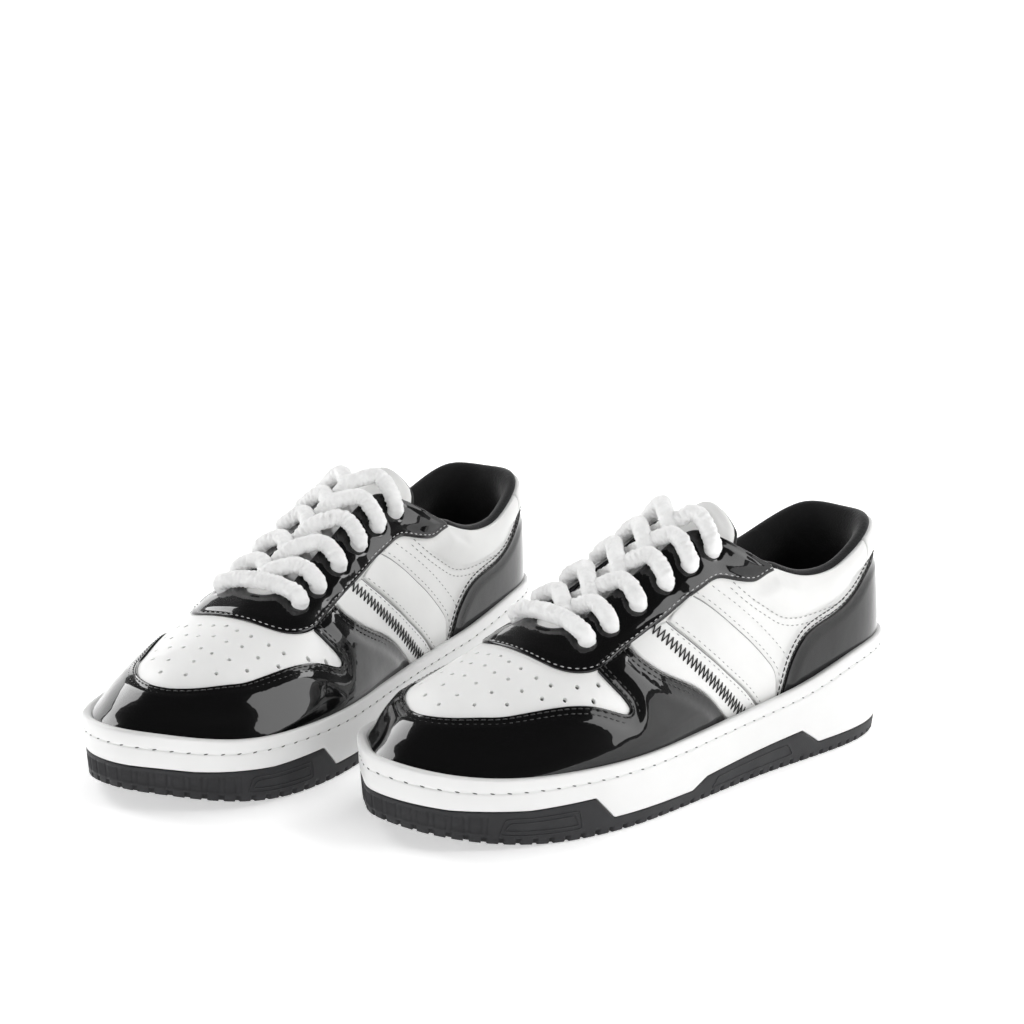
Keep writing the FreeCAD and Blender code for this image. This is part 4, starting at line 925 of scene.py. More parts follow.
def grid_interp(A, nu, nv):
    """Smooth finer grid through a grid of values."""
    d = np.concatenate([[0], np.cumsum(np.linalg.norm(np.diff(G3[:, NE // 2], axis=0), axis=1))])
    u = np.linspace(0, d[-1], nu)
    B = np.stack([[Spline(d, A[:, j, k])(u) for j in range(A.shape[1])] for k in range(3)], -1)   # (NE+1, nu, 3)
    v = np.linspace(0, A.shape[1] - 1, nv)
    return np.stack([Spline(np.arange(A.shape[1]), B[:, i, :][:, k])(v) for i in range(nu) for k in range(3)], -1).reshape(nv, nu, 3).transpose(1, 0, 2)


NU, NV = 300, 34
vv = np.linspace(0, 1, NV)
E3, EN = grid_interp(G3, NU, NV), grid_interp(GN, NU, NV)
EN /= np.linalg.norm(EN, axis=-1)[..., None]
wid = np.linalg.norm(E3[:, -1] - E3[:, 0], axis=-1)[:, None]
dist = np.minimum(vv[None, :], 1 - vv[None, :]) * wid
edge_u = np.concatenate([[0], np.cumsum(np.linalg.norm(np.diff(E3[:, NV // 2], axis=0), axis=1))])
dist = np.minimum(dist, np.minimum(edge_u, edge_u[-1] - edge_u)[:, None] + .05)
x = np.clip(dist / .9, 0, 1)
dd = 1.55 - .9 * (1 - np.sqrt(np.maximum(0, 1 - (1 - x) ** 2))) + .45 * np.clip((dist - 2.8) / 3, 0, 1)
eye3 = np.array([P(np.array([q]), np.array([t]), 0.0)[0] for s0, t in EYE for q in (s0, 1 - s0)])
for e in eye3:
    r = np.linalg.norm(E3 - e, axis=-1)
    dd = dd - 1.1 * np.exp(-(r / 4.4) ** 4) - .12 * np.exp(-((r - 6.6) / 2.0) ** 2)
top = E3 + EN * dd[..., None]
und = E3 + EN * .2
V = np.vstack([top.reshape(-1, 3), und.reshape(-1, 3)])
F = []
idx = lambda i, j, k=0: k * NU * NV + i * NV + j
for i in range(NU - 1):
    for j in range(NV - 1):
        F.append((idx(i, j), idx(i, j + 1), idx(i + 1, j + 1), idx(i + 1, j)))
for i in range(NU - 1):
    F.append((idx(i, 0), idx(i + 1, 0), idx(i + 1, 0, 1), idx(i, 0, 1)))
    F.append((idx(i, NV - 1), idx(i, NV - 1, 1), idx(i + 1, NV - 1, 1), idx(i + 1, NV - 1)))
for j in range(NV - 1):
    F.append((idx(0, j), idx(0, j, 1), idx(0, j + 1, 1), idx(0, j + 1)))
    F.append((idx(NU - 1, j), idx(NU - 1, j + 1), idx(NU - 1, j + 1, 1), idx(NU - 1, j, 1)))
c0 = np.cross(V[F[0][1]] - V[F[0][0]], V[F[0][2]] - V[F[0][0]])
if np.dot(c0, EN[0, 0]) < 0:
    F = [f[::-1] for f in F]
add_mesh("eyestay", V, F, "black_patent", slot="black_patent", stands=["eyestay"])
j0 = lambda w: np.clip(1 - w / wid[:, 0], 0, 1) * (NV - 1)


def eye_line(w, lift):
    jj = j0(w)
    a = np.floor(jj).astype(int)
    b = np.minimum(a + 1, NV - 1)
    k = (jj - a)[:, None]
    i = np.arange(NU)
    return E3[i, a] * (1 - k) + E3[i, b] * k + (EN[i, a] * (1 - k) + EN[i, b] * k) * lift, EN[i, a] * (1 - k) + EN[i, b] * k


# the eyestay stitches are pale: painted highlight standing in for the glints on dark thread
ln, nn = eye_line(1.7, 1.55)
stitch(PALE_GLINT, ln, nn, pitch=2.9, length=1.75, rad=.24, lift=.16)
# thin pale line below the eyestay: partly the leather's raw edge, partly a painted highlight along its rounded rim
ln, nn = eye_line(-.15, .55)
v, f = tube(ln, .32, 6)
WHITE.add(v, f)

# ------------------------------------------------------------------ collar lining: rolls over the top edge
ns, rowsd = 190, []
cs = np.linspace(-.2235, .2235, ns)
a = np.abs(cs)
fade = np.clip((.222 - a) / .03, 0, 1)
thick = 2.6 + 3.2 * fade


def CT(sv, tv, dv, lift=0.0):
    q = P(np.mod(sv, 1.0), np.full_like(sv, 1.0) * tv, dv)
    q[:, 2] += lift
    return q


low = np.where(a > .17, 1 - np.clip((a - .172) / .05, 0, 1) * .14, 1.0)
rowsd.append(CT(cs, .972 * low, -.25 + 0 * cs, 0))
rowsd.append(CT(cs, .985 * low, .35 + 0 * cs, .25))
rowsd.append(CT(cs, .992 * low, -.1 + 0 * cs, 1.0))
rowsd.append(CT(cs, .997 * low, -thick * .30, 1.7 * fade + .5))
rowsd.append(CT(cs, .995 * low, -thick * .62, 1.5 * fade + .4))
rowsd.append(CT(cs, .985 * low, -thick * .9, .5))
for k, (tt, th) in enumerate(((.965, 1.05), (.935, 1.16), (.90, 1.22), (.86, 1.24), (.82, 1.2), (.77, 1.12), (.72, 1.0), (.67, .9), (.62, .82), (.56, .78), (.48, .76), (.38, .75), (.28, .75), (.18, .75), (.08, .75), (.0, .75))):
    rowsd.append(CT(cs, np.minimum(tt, low * .975), -np.maximum(thick * th, 2.9), 0))
R = np.array(rowsd)
nr = len(rowsd)
V = R.reshape(-1, 3)
F = [(i * ns + j, (i + 1) * ns + j, (i + 1) * ns + j + 1, i * ns + j + 1) for i in range(nr - 1) for j in range(ns - 1)]
m0 = F[(nr // 2) * (ns - 1) + ns // 2]
nv = np.cross(V[m0[1]] - V[m0[0]], V[m0[2]] - V[m0[0]])
if nv[0] < 0:
    F = [f[::-1] for f in F]
add_mesh("collar_lining", V, F, "lining_black", slot="lining_textile", stands=["collar_lining", "collar_padding"], subd=1, pad=.55)

# ------------------------------------------------------------------ tongue
SPINE = Spline([100, 104, 110, 118, 125.5, 138, 156, 175, 194, 212], [117.5, 115.5, 111.5, 106.4, 101.6, 95.0, 85.4, 75.6, 66.4, 58.9])
HALF = Spline([96, 100, 106, 118, 135, 160, 185, 200], [16.5, 17.5, 18.3, 18.6, 18.8, 19.2, 19.5, 19.5])
ARCH = Spline([96, 100, 110, 119, 130, 145, 160, 200], [18, 18, 19, 19.5, 16.5, 12.5, 9.5, 8.5])
nx, ny = 72, 30
xs = 99.5 + (198.5 - 99.5) * (np.arange(nx) / (nx - 1))
ys = np.linspace(-1, 1, ny)
X, Y = np.meshgrid(xs, ys, indexing="ij")
tip = np.sqrt(np.clip((xs - 98.8) / 9.0, 0, 1))[:, None]
hw = HALF(xs)[:, None] * (0.72 + .28 * tip)
YY = hw * Y + .2
base = SPINE(X) - 8.6 - ARCH(X) * (YY / 20.0) ** 2
edge = np.minimum((1 - np.abs(Y)) * hw, (X - 99.4))
x = np.clip(edge / 2.6, 0, 1)
rr = np.sqrt(np.maximum(0, 1 - (1 - x) ** 2))
quilt = .5 * np.sin(np.clip((X - 100) / 14, 0, 1) * math.pi) * np.clip(edge / 4, 0, 1)
seamt = -.55 * np.exp(-((edge - 4.2) / .7) ** 2)
ztop = base - 2.6 * (1 - rr) + quilt + seamt + .7 * np.clip(edge / 9, 0, 1)
zbot = base - 5.4 + 2.4 * (1 - rr)
V = np.vstack([np.stack([X, YY, ztop], -1).reshape(-1, 3), np.stack([X, YY, zbot], -1).reshape(-1, 3)])
F = []
g = lambda i, j, k=0: k * nx * ny + i * ny + j
for i in range(nx - 1):
    for j in range(ny - 1):
        F.append((g(i, j), g(i + 1, j), g(i + 1, j + 1), g(i, j + 1)))
        F.append((g(i, j, 1), g(i, j + 1, 1), g(i + 1, j + 1, 1), g(i + 1, j, 1)))
for i in range(nx - 1):
    F.append((g(i, 0), g(i, 0, 1), g(i + 1, 0, 1), g(i + 1, 0)))
    F.append((g(i, ny - 1), g(i + 1, ny - 1), g(i + 1, ny - 1, 1), g(i, ny - 1, 1)))
for j in range(ny - 1):
    F.append((g(0, j), g(0, j + 1), g(0, j + 1, 1), g(0, j, 1)))
    F.append((g(nx - 1, j), g(nx - 1, j, 1), g(nx - 1, j + 1, 1), g(nx - 1, j + 1)))
add_mesh("tongue", V, F, "white_padded", body="tongue", slot="white_leather", stands=["tongue", "tongue_lining"], pad=.6)
# thin dark binding along the tongue's free edge
i_end = 46
side_a = np.stack([X[:i_end, 0], YY[:i_end, 0], base[:i_end, 0] - 2.9], -1)[::-1]
front_e = np.stack([X[0, :], YY[0, :], base[0, :] - 2.9], -1)
side_b = np.stack([X[:i_end, -1], YY[:i_end, -1], base[:i_end, -1] - 2.9], -1)
bind = resample(np.vstack([side_a, front_e[1:-1], side_b]), 1.2)
v, f = tube(bind, .85, 8)
add_mesh("tongue_binding", v, f, "edge_black", body="tongue", slot="lining_textile")

# ------------------------------------------------------------------ lace
MY = .2


def spine_s(x, y, d):
    return np.array([x, y, float(SPINE(x)) - 5.6 * (y / 20.0) ** 2 + d])


def eyel(side, i, d):
    s_, t_ = EYE[i]
    return P(np.array([s_ if side > 0 else 1 - s_]), np.array([t_]), d)[0]


def strand(side, i, up):
    a, b = eyel(side, i, 0), eyel(-side, i + 1, 0)
    xm = (a[0] + b[0]) / 2
    return [eyel(side, i, 2.2), eyel(side, i, -2.8),
            spine_s(a[0] - 1.5, side * 7.5 + MY, -3.6),
            spine_s(xm + 1.5, MY + side * 2.4, 3.6 if up else -1.8),
            spine_s(xm - 1.5, MY - side * 3.6, 5.2 if up else 2.0),
            spine_s(b[0] - 1.0, -side * 11.0 + MY, 5.0),
            eyel(-side, i + 1, 4.7) + np.array([0.3, -side * -.2, 0])]


def half(side):
    pts, sd = [], side
    for i in range(5):
        pts += strand(sd, i, (i % 2 == 0) == (side > 0))
        sd = -sd
    q = lambda s_, t_, d_: P(np.array([s_ if sd > 0 else 1 - s_]), np.array([t_]), d_)[0]
    pts += [eyel(sd, 5, 2.2), eyel(sd, 5, -3.6), q(.2400, .800, -5.6), q(.2500, .775, -5.8), q(.2600, .760, -6.0)]
    return pts


e1 = eyel(1, 0, 0)
bar = [eyel(1, 0, 4.8) + np.array([.3, .8, 0]), spine_s(e1[0] + .8, 11.0, 5.0), spine_s(e1[0] + .9, 0, 4.3), spine_s(e1[0] + .8, -11.0, 5.0), eyel(-1, 0, 4.8) + np.array([.3, -.8, 0])]
route = half(1)[::-1] + bar + half(-1)


def nurbs_points(pts):
    cu = bpy.data.curves.new("route", "CURVE")
    cu.dimensions = "3D"
    sp = cu.splines.new("NURBS")
    sp.points.add(len(pts) - 1)
    for p, q in zip(sp.points, pts):
        p.co = (*[float(c) for c in q], 1.0)
    sp.order_u = 3
    sp.use_endpoint_u = True
    sp.resolution_u = 12
    ob = bpy.data.objects.new("route", cu)
    scene.collection.objects.link(ob)
    me = bpy.data.meshes.new_from_object(ob)
    out = np.array([tuple(v.co) for v in me.vertices])
    bpy.data.objects.remove(ob)
    return out


lp = resample(nurbs_points(route), .45)
# soften the line a little, as a limp rope does
for _ in range(8):
    lp[1:-1] = lp[1:-1] * .5 + (lp[:-2] + lp[2:]) * .25
n_l = len(lp)
ph = rng.uniform(0, 6.28, 40)
fr_ = rng.uniform(.08, 1.4, 40)
md = rng.integers(1, 7, 40)
am = .030 / np.sqrt(fr_ + .2)


def fluff(i, a):
    r = 0
    for p_, f_, m_, a_ in zip(ph, fr_, md, am):
        r = r + a_ * np.sin(i * f_ + m_ * a + p_)
    return r + .14 * np.sin(i * 1.25 + a) + .05 * np.sin(i * 1.25 * 2 - 3 * a)


v, f = tube(lp, 3.55, 22, rfun=fluff)
add_mesh("lace", v, f, "rope", slot="white_rope", stands=["lace"])
# short fibres standing off the rope
t_, n_, b_ = frames(lp)
tips = Bag()
for k in (0, -1):
    d_ = lp[k] - lp[18 if k == 0 else -19]
    d_ /= np.linalg.norm(d_)
    w_ = np.linspace(0, 7.5, 14)
    v_, f_ = tube(lp[k] + d_ * (w_[:, None] - 1.0), np.where(w_ < .5, 3.2, np.where(w_ < 1.2, 2.2, 1.9)) * np.sqrt(np.clip((8.2 - w_) / 1.2, .2, 1)), 14)
    tips.add(v_, f_)
tips.make("lace_tips", "clear_tip", slot="aglet_plastic", stands=["aglets"])
fib = Bag()
for _ in range(7000):
    i = int(rng.integers(6, n_l - 6))
    a_ = rng.uniform(0, 2 * math.pi)
    d_ = math.cos(a_) * b_[i] + math.sin(a_) * n_[i]
    p0 = lp[i] + d_ * 3.4
    lean = t_[i] * rng.uniform(-1, 1) + np.cross(t_[i], d_) * rng.uniform(-1, 1)
    L_ = rng.uniform(.35, .8)
    p1 = p0 + d_ * L_ * .7 + lean * L_ * .45
    w_ = np.cross(p1 - p0, rng.normal(size=3))
    w_ = w_ / np.linalg.norm(w_) * .045
    fib.add(np.array([p0 - w_, p0 + w_, p1]), [(0, 1, 2)])
fib.make("lace_fibres", "rope", slot="white_rope")

# ------------------------------------------------------------------ linings inside
def strip_grid(name, ss, rows_, mat, **kw):
    R_ = np.array(rows_)
    nr_, ns_ = R_.shape[:2]
    F_ = [(i * ns_ + j, (i + 1) * ns_ + j, (i + 1) * ns_ + j + 1, i * ns_ + j + 1) for i in range(nr_ - 1) for j in range(ns_ - 1)]
    return add_mesh(name, R_.reshape(-1, 3), F_, mat, **kw)


LTS, LTT = [.2, .2309, .2450, .2592, .2795, .318, .3345, .5], [.80, .73, .675, .645, .63, .62, .99, 1.0]
ss = np.linspace(.2150, .785, 170)
sa = np.where(ss > .5, 1 - ss, ss)
tl = np.interp(sa, LTS, LTT)
tl = np.where(np.abs(ss - .5) < .145, np.minimum(tl, .80), tl)
tl = np.convolve(np.pad(tl, 3, mode="edge"), np.ones(7) / 7, "valid")
strip_grid("forefoot_lining", ss, [P(ss, .02 + (tl - .02) * k, np.full_like(ss, -3.15 + .25 * math.sin(k * 9))) for k in np.linspace(0, 1, 26)] +
           [P(ss, .02 + (tl - .02) * .998, np.where(np.abs(ss - .5) < .15, -3.6, -1.6))], "lining_black", slot="lining_textile",
           stands=["vamp_lining", "side_lining_lateral", "side_lining_medial"])

# ------------------------------------------------------------------ sock liner
uu = RL * np.arange(260) / 260
pp, nn = rim_at(uu)
so = resample((pp - nn * 10.6), 2.2, True)
q, fc, lps = panel2d(so, (), 4.2, 2.2, (.5, 1.2, 2.2))
dist = dist_to_loops(q, lps)
cup = np.clip((60 - q[:, 0]) / 50, 0, 1) * np.exp(-dist / 9.0) * 3.6
arch = np.exp(-((q[:, 0] - 112) / 34) ** 2) * np.clip((-q[:, 1] + 2) / 26, 0, 1) ** 2 * 3.2
zt = floor_z(q[:, 0]) + 6.0 - .9 * (1 - np.sqrt(np.clip(1 - (1 - np.clip(dist / 1.6, 0, 1)) ** 2, 0, 1))) + cup + arch
topv = np.stack([q[:, 0], q[:, 1], zt], -1)
tri = np.array([f[:3] for f in fc])
up = np.cross(topv[tri[:, 1]] - topv[tri[:, 0]], topv[tri[:, 2]] - topv[tri[:, 0]])[:, 2] > 0
fc = [f if u_ else f[::-1] for f, u_ in zip(fc, up)]
m = len(lps[0])
lowv = np.column_stack([lps[0], floor_z(lps[0][:, 0]) + 2.2])
base_i = len(topv)
near = [int(np.argmin(np.sum((q - p_) ** 2, 1))) for p_ in lps[0]]
fs = fc + [(near[i], near[(i + 1) % m], base_i + (i + 1) % m, base_i + i) for i in range(m)]
add_mesh("sockliner", np.vstack([topv, lowv]), fs, "sock_textile", slot="foam", stands=["sockliner"], pad=.5)

# ------------------------------------------------------------------ sole wall
SEAM = np.array([(-15, 6.6), (66, 6.6), (79, 14.2), (143, 9.6), (152, 5.6), (198, 6.0), (208, 15.6), (235, 14.6), (262, 16.0), (292, 20.5)])


def seam_z(x):
    return np.interp(x, SEAM[:, 0], SEAM[:, 1])


def bottom_z(x):
    x = np.asarray(x, float)
    return np.where(x > 212, 8 * ((x - 212) / 64.0) ** 2, np.where(x < 14, 1.8 * ((14 - x) / 26.0) ** 2, 0.0))


def wall(u, z, d=0.0):
    p, n = rim_at(u)
    ins = np.where(z < 30, 3 * (1 - z / 30), 3 * (z - 30) / 30)
    q_ = p + n * (np.asarray(d, float) - ins)[..., None]
    return np.stack([q_[..., 0], q_[..., 1], z + 0 * q_[..., 0]], -1)


def ring(name, cols, rows_, mat, **kw):
    """Closed band around the shoe; rows_ are functions of the column lengths giving points."""
    R_ = np.array(rows_)
    nr_, nc = R_.shape[:2]
    F_ = [(i * nc + j, i * nc + (j + 1) % nc, (i + 1) * nc + (j + 1) % nc, (i + 1) * nc + j) for i in range(nr_ - 1) for j in range(nc)]
    V_ = R_.reshape(-1, 3)
    f0 = F_[(nr_ // 3) * nc + nc // 4]
    nv_ = np.cross(V_[f0[1]] - V_[f0[0]], V_[f0[2]] - V_[f0[0]])
    _, on = rim_at(np.array([cols[nc // 4]]))
    if nv_[0] * on[0, 0] + nv_[1] * on[0, 1] < 0:
        F_ = [f[::-1] for f in F_]
    return add_mesh(name, V_, F_, mat, **kw)


nc = 1000
cu_ = RL * np.arange(nc) / nc
cp, cn = rim_at(cu_)
cx = cp[:, 0]
zl_, zh_ = seam_z(cx) + .3, lip_z(cx)
rows_ = []
k_low = np.array([0, .0001, .35, .8])
rows_.append(wall(cu_, zl_, np.full(nc, -3.0)))
rows_.append(wall(cu_, zl_, np.full(nc, -.55)))
rows_.append(wall(cu_, zl_ + .16, np.full(nc, -.16)))
rows_.append(wall(cu_, zl_ + .5, np.full(nc, .0)))
gz = zh_ - 5.2 - .9 * np.exp(-((cx - 275) / 30) ** 2)                 # groove height
for k in np.linspace(.12, .88, 9):
    rows_.append(wall(cu_, zl_ + .5 + (gz - 1.1 - zl_ - .5) * k, np.full(nc, .18 * math.sin(math.pi * k))))
for dz, dd_ in ((-1.1, .05), (-.6, 0), (-.4, -.14), (-.22, -.34), (.0, -.4), (.22, -.34), (.4, -.14), (.6, 0), (1.1, .05)):
    rows_.append(wall(cu_, gz + dz, np.full(nc, dd_)))
for k in (.3, .6, .85):
    rows_.append(wall(cu_, gz + 1.1 + (zh_ - 1.1 - gz - 1.1) * k, np.full(nc, .12)))
for a_ in (0, 25, 50, 70, 90):
    r_ = math.radians(a_)
    rows_.append(wall(cu_, zh_ - 1.0 * (1 - math.sin(r_)), np.full(nc, .12 - 1.0 * (1 - math.cos(r_)))))
rows_.append(wall(cu_, zh_ - .02, np.full(nc, -1.9)))
rows_.append(wall(cu_, zh_ - .35, np.full(nc, -2.7)))
rows_.append(wall(cu_, zh_ - .9, np.full(nc, -3.5)))
rows_.append(wall(cu_, zh_ - 1.5, np.full(nc, -4.6)))
rows_.append(wall(cu_, floor_z(cx), np.full(nc, -4.6)))
rows_.append(wall(cu_, floor_z(cx), np.full(nc, -12.5)))
ring("sidewall", cu_, rows_, "sidewall", slot="sidewall_rubber", stands=["midsole"])
# stitch ticks in the groove
TICK = Bag()
n_t = int(RL / 6.5)
for i in range(n_t):
    u0 = RL * (i + .5) / n_t
    p_, n_ = rim_at(np.array([u0]))
    x_ = p_[0, 0]
    z_ = float(lip_z(x_)) - 5.2 - .9 * math.exp(-((x_ - 275) / 30) ** 2)
    us = u0 + np.linspace(-.85, .85, 5)
    dz_ = np.array([-.30, -.12, 0, .12, .30])
    path = wall(us, z_ + dz_ * .8, np.array([-.42, -.26, -.2, -.26, -.42]))
    v, f = tube(path, [.14, .22, .24, .22, .14], 6)
    TICK.add(v, f)
TICK.make("sidewall_thread", "thread_dark", slot="sidewall_rubber")

# outsole wall: notches along the ground edge, ribs at the toe
pitch = 6.8
n_n = int(round(RL / pitch))
pitch = RL / n_n
cols = []
for k in range(n_n):
    b_ = k * pitch
    cols += [b_ + x_ for x_ in (0, .03, 1.15, 2.3, 2.33, 2.9, 3.45, 4.0, 4.55, 5.1, 5.7, 6.3)]
cols = np.array(cols)
notch = ((np.mod(cols, pitch) > .02) & (np.mod(cols, pitch) < 2.31)).astype(float)
op, on_ = rim_at(cols)
ox = op[:, 0]
zb, zs = bottom_z(ox), seam_z(ox)
front = ox > 252
rib = .38 * np.where(np.mod(np.arange(len(cols)), 2) == 0, 0.0, 1.0) * np.clip((ox - 246) / 6, 0, 1)
rows_ = []
nh = np.minimum(2.6, (zs - zb) * .4)
one = np.ones(len(cols))
rows_.append(wall(cols, zb + .0, -5.0 * one))
rows_.append(wall(cols, zb + .0, -.9 * one - 1.5 * notch))
rows_.append(wall(cols, zb + .3, -.35 * one - 1.9 * notch))
rows_.append(wall(cols, zb + .7, -.05 * one - 2.1 * notch))
rows_.append(wall(cols, zb + nh, .0 * one - 2.1 * notch))
rows_.append(wall(cols, zb + nh + .03, .0 * one))
hz = zs - (zb + nh)
rows_.append(wall(cols, zb + nh + hz * .12, .0 * one))
rows_.append(wall(cols, zb + nh + hz * .14, .0 * one - rib))
rows_.append(wall(cols, zb + nh + hz * .45, .0 * one - rib))
rows_.append(wall(cols, zb + nh + hz * .78, .0 * one - rib))
rows_.append(wall(cols, zb + nh + hz * .80, .0 * one))
rows_.append(wall(cols, zs - .35, .0 * one))
rows_.append(wall(cols, zs - .1, -.15 * one))
rows_.append(wall(cols, zs, -.5 * one))
rows_.append(wall(cols, zs, -3.2 * one))
ring("outsole_wall", cols, rows_, "outsole_dark", slot="outsole_rubber", stands=["outsole"])
# bottom with a herringbone tread
bo = resample((pp - nn * 7.5), 2.0, True)
q, fc, lps = panel2d(bo, (), 1.9, 2.0, (.8,))
zig = 5.0 * np.abs(np.mod(q[:, 1] / 15.0, 2.0) - 1.0)
ph_ = np.mod((q[:, 0] + zig) / 6.5, 1.0)
dist = dist_to_loops(q, lps)
rec = np.clip((.18 - np.abs(ph_ - .5)) / .06, 0, 1) * np.clip((dist - 3) / 1, 0, 1)
zz = bottom_z(q[:, 0]) + .05 + 1.3 * rec
bv = np.stack([q[:, 0], q[:, 1], zz], -1)
tri = np.array([f[:3] for f in fc])
dn = np.cross(bv[tri[:, 1]] - bv[tri[:, 0]], bv[tri[:, 2]] - bv[tri[:, 0]])[:, 2] < 0
fc = [f if u_ else f[::-1] for f, u_ in zip(fc, dn)]
add_mesh("outsole_tread", bv, fc, "outsole_dark", slot="outsole_rubber", smooth=False)
# moulded panel lines on the plates
LINES = Bag()


def panel_line(xa, xb, zf_lo, zf_hi, side, slant=0.0, rad=.3, rows_in=1):
    """Raised thin outline on the wall between two side-view stations, as shares of the plate's height."""
    um = {}
    us_ = np.linspace(0, RL, 2400)
    ps_, _ = rim_at(us_)
    sel = ps_[:, 1] > 0 if side > 0 else ps_[:, 1] < 0
    def u_at(x_):
        return us_[sel][np.argmin(np.abs(ps_[sel][:, 0] - x_))]
    for k in range(rows_in):
        g_ = k * 1.7
        pts = [(xa + g_ + slant, zf_hi, -g_), (xb - g_ - slant, zf_hi, -g_), (xb - g_, zf_lo, g_), (xa + g_, zf_lo, g_)]
        poly = []
        for i in range(4):
            a_, b_ = pts[i], pts[(i + 1) % 4]
            for w_ in np.linspace(0, 1, 14)[:-1]:
                poly.append([a_[j] * (1 - w_) + b_[j] * w_ for j in range(3)])
        poly = np.array(poly)
        for _ in range(2):
            poly = (np.roll(poly, 1, 0) + 2 * poly + np.roll(poly, -1, 0)) / 4
        poly = np.vstack([poly, poly[:1]])
        zb_, zs_ = bottom_z(poly[:, 0]), seam_z(poly[:, 0])
        z_ = zb_ + (zs_ - zb_) * poly[:, 1] + poly[:, 2]
        u_ = np.array([u_at(x_) for x_ in poly[:, 0]])
        pth = wall(u_, z_, np.full(len(u_), .02))
        keep_ = np.concatenate([[True], np.linalg.norm(np.diff(pth, axis=0), axis=1) > .05])
        pth = resample(pth[keep_], .8)
        v_, f_ = tube(pth, rad, 6)
        LINES.add(v_, f_)


for sd in (1, -1):
    panel_line(213, 246, .30, .80, sd, slant=2.0, rows_in=2)
    panel_line(84, 139, .36, .76, sd, slant=4.0, rows_in=1)
LINES.make("outsole_lines", "outsole_dark", slot="outsole_rubber")

BLACK.make("black_stitching", "thread_black", slot="black_patent")
GREY.make("seam_stitching_and_crease_shade", "thread_grey", slot="white_leather")
PALE_GLINT.make("eyestay_stitching", "thread_pale", slot="black_patent")
WHITE.make("white_stitching_and_edge_highlight", "thread_white", slot="white_leather")

# ------------------------------------------------------------------ what stays from the CAD gets a finish
KEEP = {"insole_board": "board", "toe_puff": "stiffener", "heel_counter": "stiffener"}
for side in ("left", "right"):
    for node, m_ in KEEP.items():
        ob = bpy.data.objects.get(side + "_" + node)
        if ob is not None and ob.type == "MESH":
            if not len(ob.data.materials):
                ob.data.materials.append(MATS[m_])
            for i in range(len(ob.material_slots)):
                ob.material_slots[i].material = MATS[m_]

# ------------------------------------------------------------------ floor, world and lights
me = bpy.data.meshes.new("floor")
fa = np.arange(96) * 2 * math.pi / 96
prof_f = [(0.0, 0.0), (1.5, 0.0), (3.0, 0.0), (5.0, 0.0)] + [(5.0 + 2.0 * math.sin(b_), 2.0 - 2.0 * math.cos(b_)) for b_ in np.linspace(.1, math.pi / 2, 12)] + [(7.0, 2.4)]
fv, ff = [], []
for r_, z_ in prof_f:
    fv += [(r_ * math.cos(a_), r_ * math.sin(a_), z_) for a_ in fa]
for i in range(1, len(prof_f) - 1):
    for j in range(96):
        ff.append((i * 96 + j, (i + 1) * 96 + j, (i + 1) * 96 + (j + 1) % 96, i * 96 + (j + 1) % 96))
ff.append(tuple(96 + j for j in range(96)))
me.from_pydata(fv, [], ff)
me.polygons.foreach_set("use_smooth", [True] * len(me.polygons))
fl = bpy.data.objects.new("studio_floor", me)
scene.collection.objects.link(fl)
fm = bpy.data.materials.new("studio_floor")
fm.use_nodes = True
nb = fm.node_tree.nodes["Principled BSDF"]
nb.inputs["Emission Color"].default_value = (1, 1, 1, 1)
tcf = fm.node_tree.nodes.new("ShaderNodeTexCoord")
ln_ = fm.node_tree.nodes.new("ShaderNodeVectorMath")
ln_.operation = "LENGTH"
mr_ = fm.node_tree.nodes.new("ShaderNodeMapRange")
mr_.inputs["From Min"].default_value, mr_.inputs["From Max"].default_value = .9, 3.0
mr_.inputs["To Min"].default_value, mr_.inputs["To Max"].default_value = .50, 1.0
fm.node_tree.links.new(tcf.outputs["Object"], ln_.inputs[0])
fm.node_tree.links.new(ln_.outputs["Value"], mr_.inputs["Value"])
fm.node_tree.links.new(mr_.outputs["Result"], nb.inputs["Emission Strength"])
nb.inputs["Roughness"].default_value = .6
nb.inputs["Specular IOR Level"].default_value = .15
nt = fm.node_tree
ns_ = nt.nodes.new("ShaderNodeTexNoise")
ns_.inputs["Scale"].default_value = 3.0
rp = nt.nodes.new("ShaderNodeValToRGB")
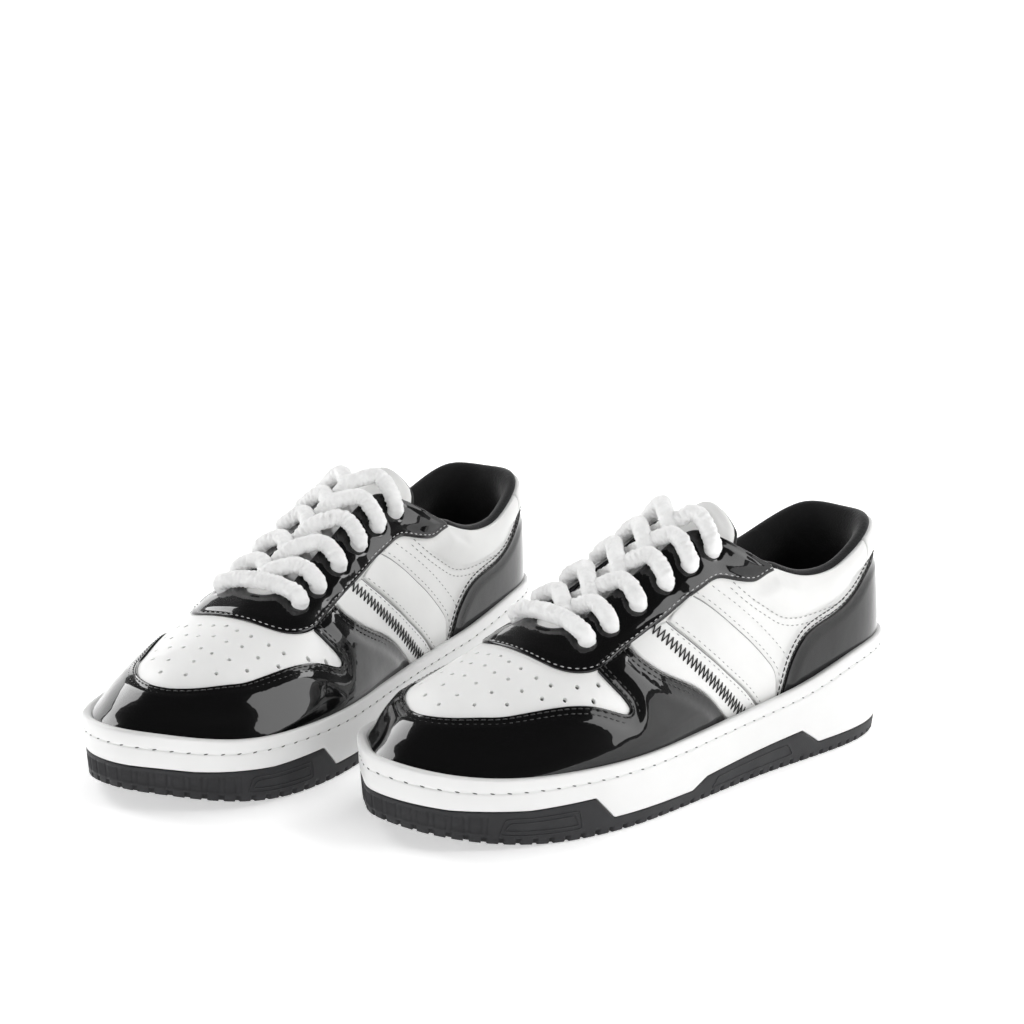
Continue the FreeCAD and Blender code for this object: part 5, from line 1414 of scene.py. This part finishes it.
rp.color_ramp.elements[0].color = (.93, .93, .93, 1)
rp.color_ramp.elements[1].color = (.95, .95, .95, 1)
nt.links.new(ns_.outputs["Fac"], rp.inputs["Fac"])
nt.links.new(rp.outputs["Color"], nb.inputs["Base Color"])
me.materials.append(fm)

wd = bpy.data.worlds.new("studio")
scene.world = wd
wd.use_nodes = True
wn, wl = wd.node_tree.nodes, wd.node_tree.links
bg = wn["Background"]
tc = wn.new("ShaderNodeTexCoord")
sp = wn.new("ShaderNodeSeparateXYZ")
wl.new(tc.outputs["Generated"], sp.inputs["Vector"])
cr = wn.new("ShaderNodeValToRGB")
cr.color_ramp.elements[0].position, cr.color_ramp.elements[0].color = 0.0, (1.06, 1.06, 1.06, 1)
cr.color_ramp.elements[1].position, cr.color_ramp.elements[1].color = 1.0, (.10, .10, .10, 1)
for ps_, cv in ((.05, 1.0), (.16, .42), (.40, .16), (.75, .10)):
    e = cr.color_ramp.elements.new(ps_)
    e.color = (cv, cv, cv, 1)
wl.new(sp.outputs["Z"], cr.inputs["Fac"])
wl.new(cr.outputs["Color"], bg.inputs["Color"])
bg.inputs["Strength"].default_value = 1.0


def area(name, loc, aim, sx, sy, power, spread=180):
    li = bpy.data.lights.new(name, "AREA")
    li.shape = "RECTANGLE"
    li.size, li.size_y, li.energy = sx, sy, power
    li.spread = math.radians(spread)
    ob = bpy.data.objects.new(name, li)
    scene.collection.objects.link(ob)
    d_ = Vector(aim) - Vector(loc)
    ob.matrix_world = Matrix.Translation(Vector(loc)) @ d_.to_track_quat("-Z", "Y").to_matrix().to_4x4()
    return ob


area("left_box", (-1.45, -.45, 1.05), (-.05, 0, .05), .9, .9, 15)
area("right_box", (1.05, 1.05, 1.15), (.05, 0, .05), .95, .95, 11)
area("back_strip", (-.2, 1.4, 1.6), (0, 0, .05), 1.6, .5, 16)
area("low_strip", (-.25, -1.7, .55), (0, 0, .05), .30, .5, 1.6)
scene.view_settings.view_transform = "Standard"
scene.view_settings.look = "None"
scene.view_settings.exposure = 0.0
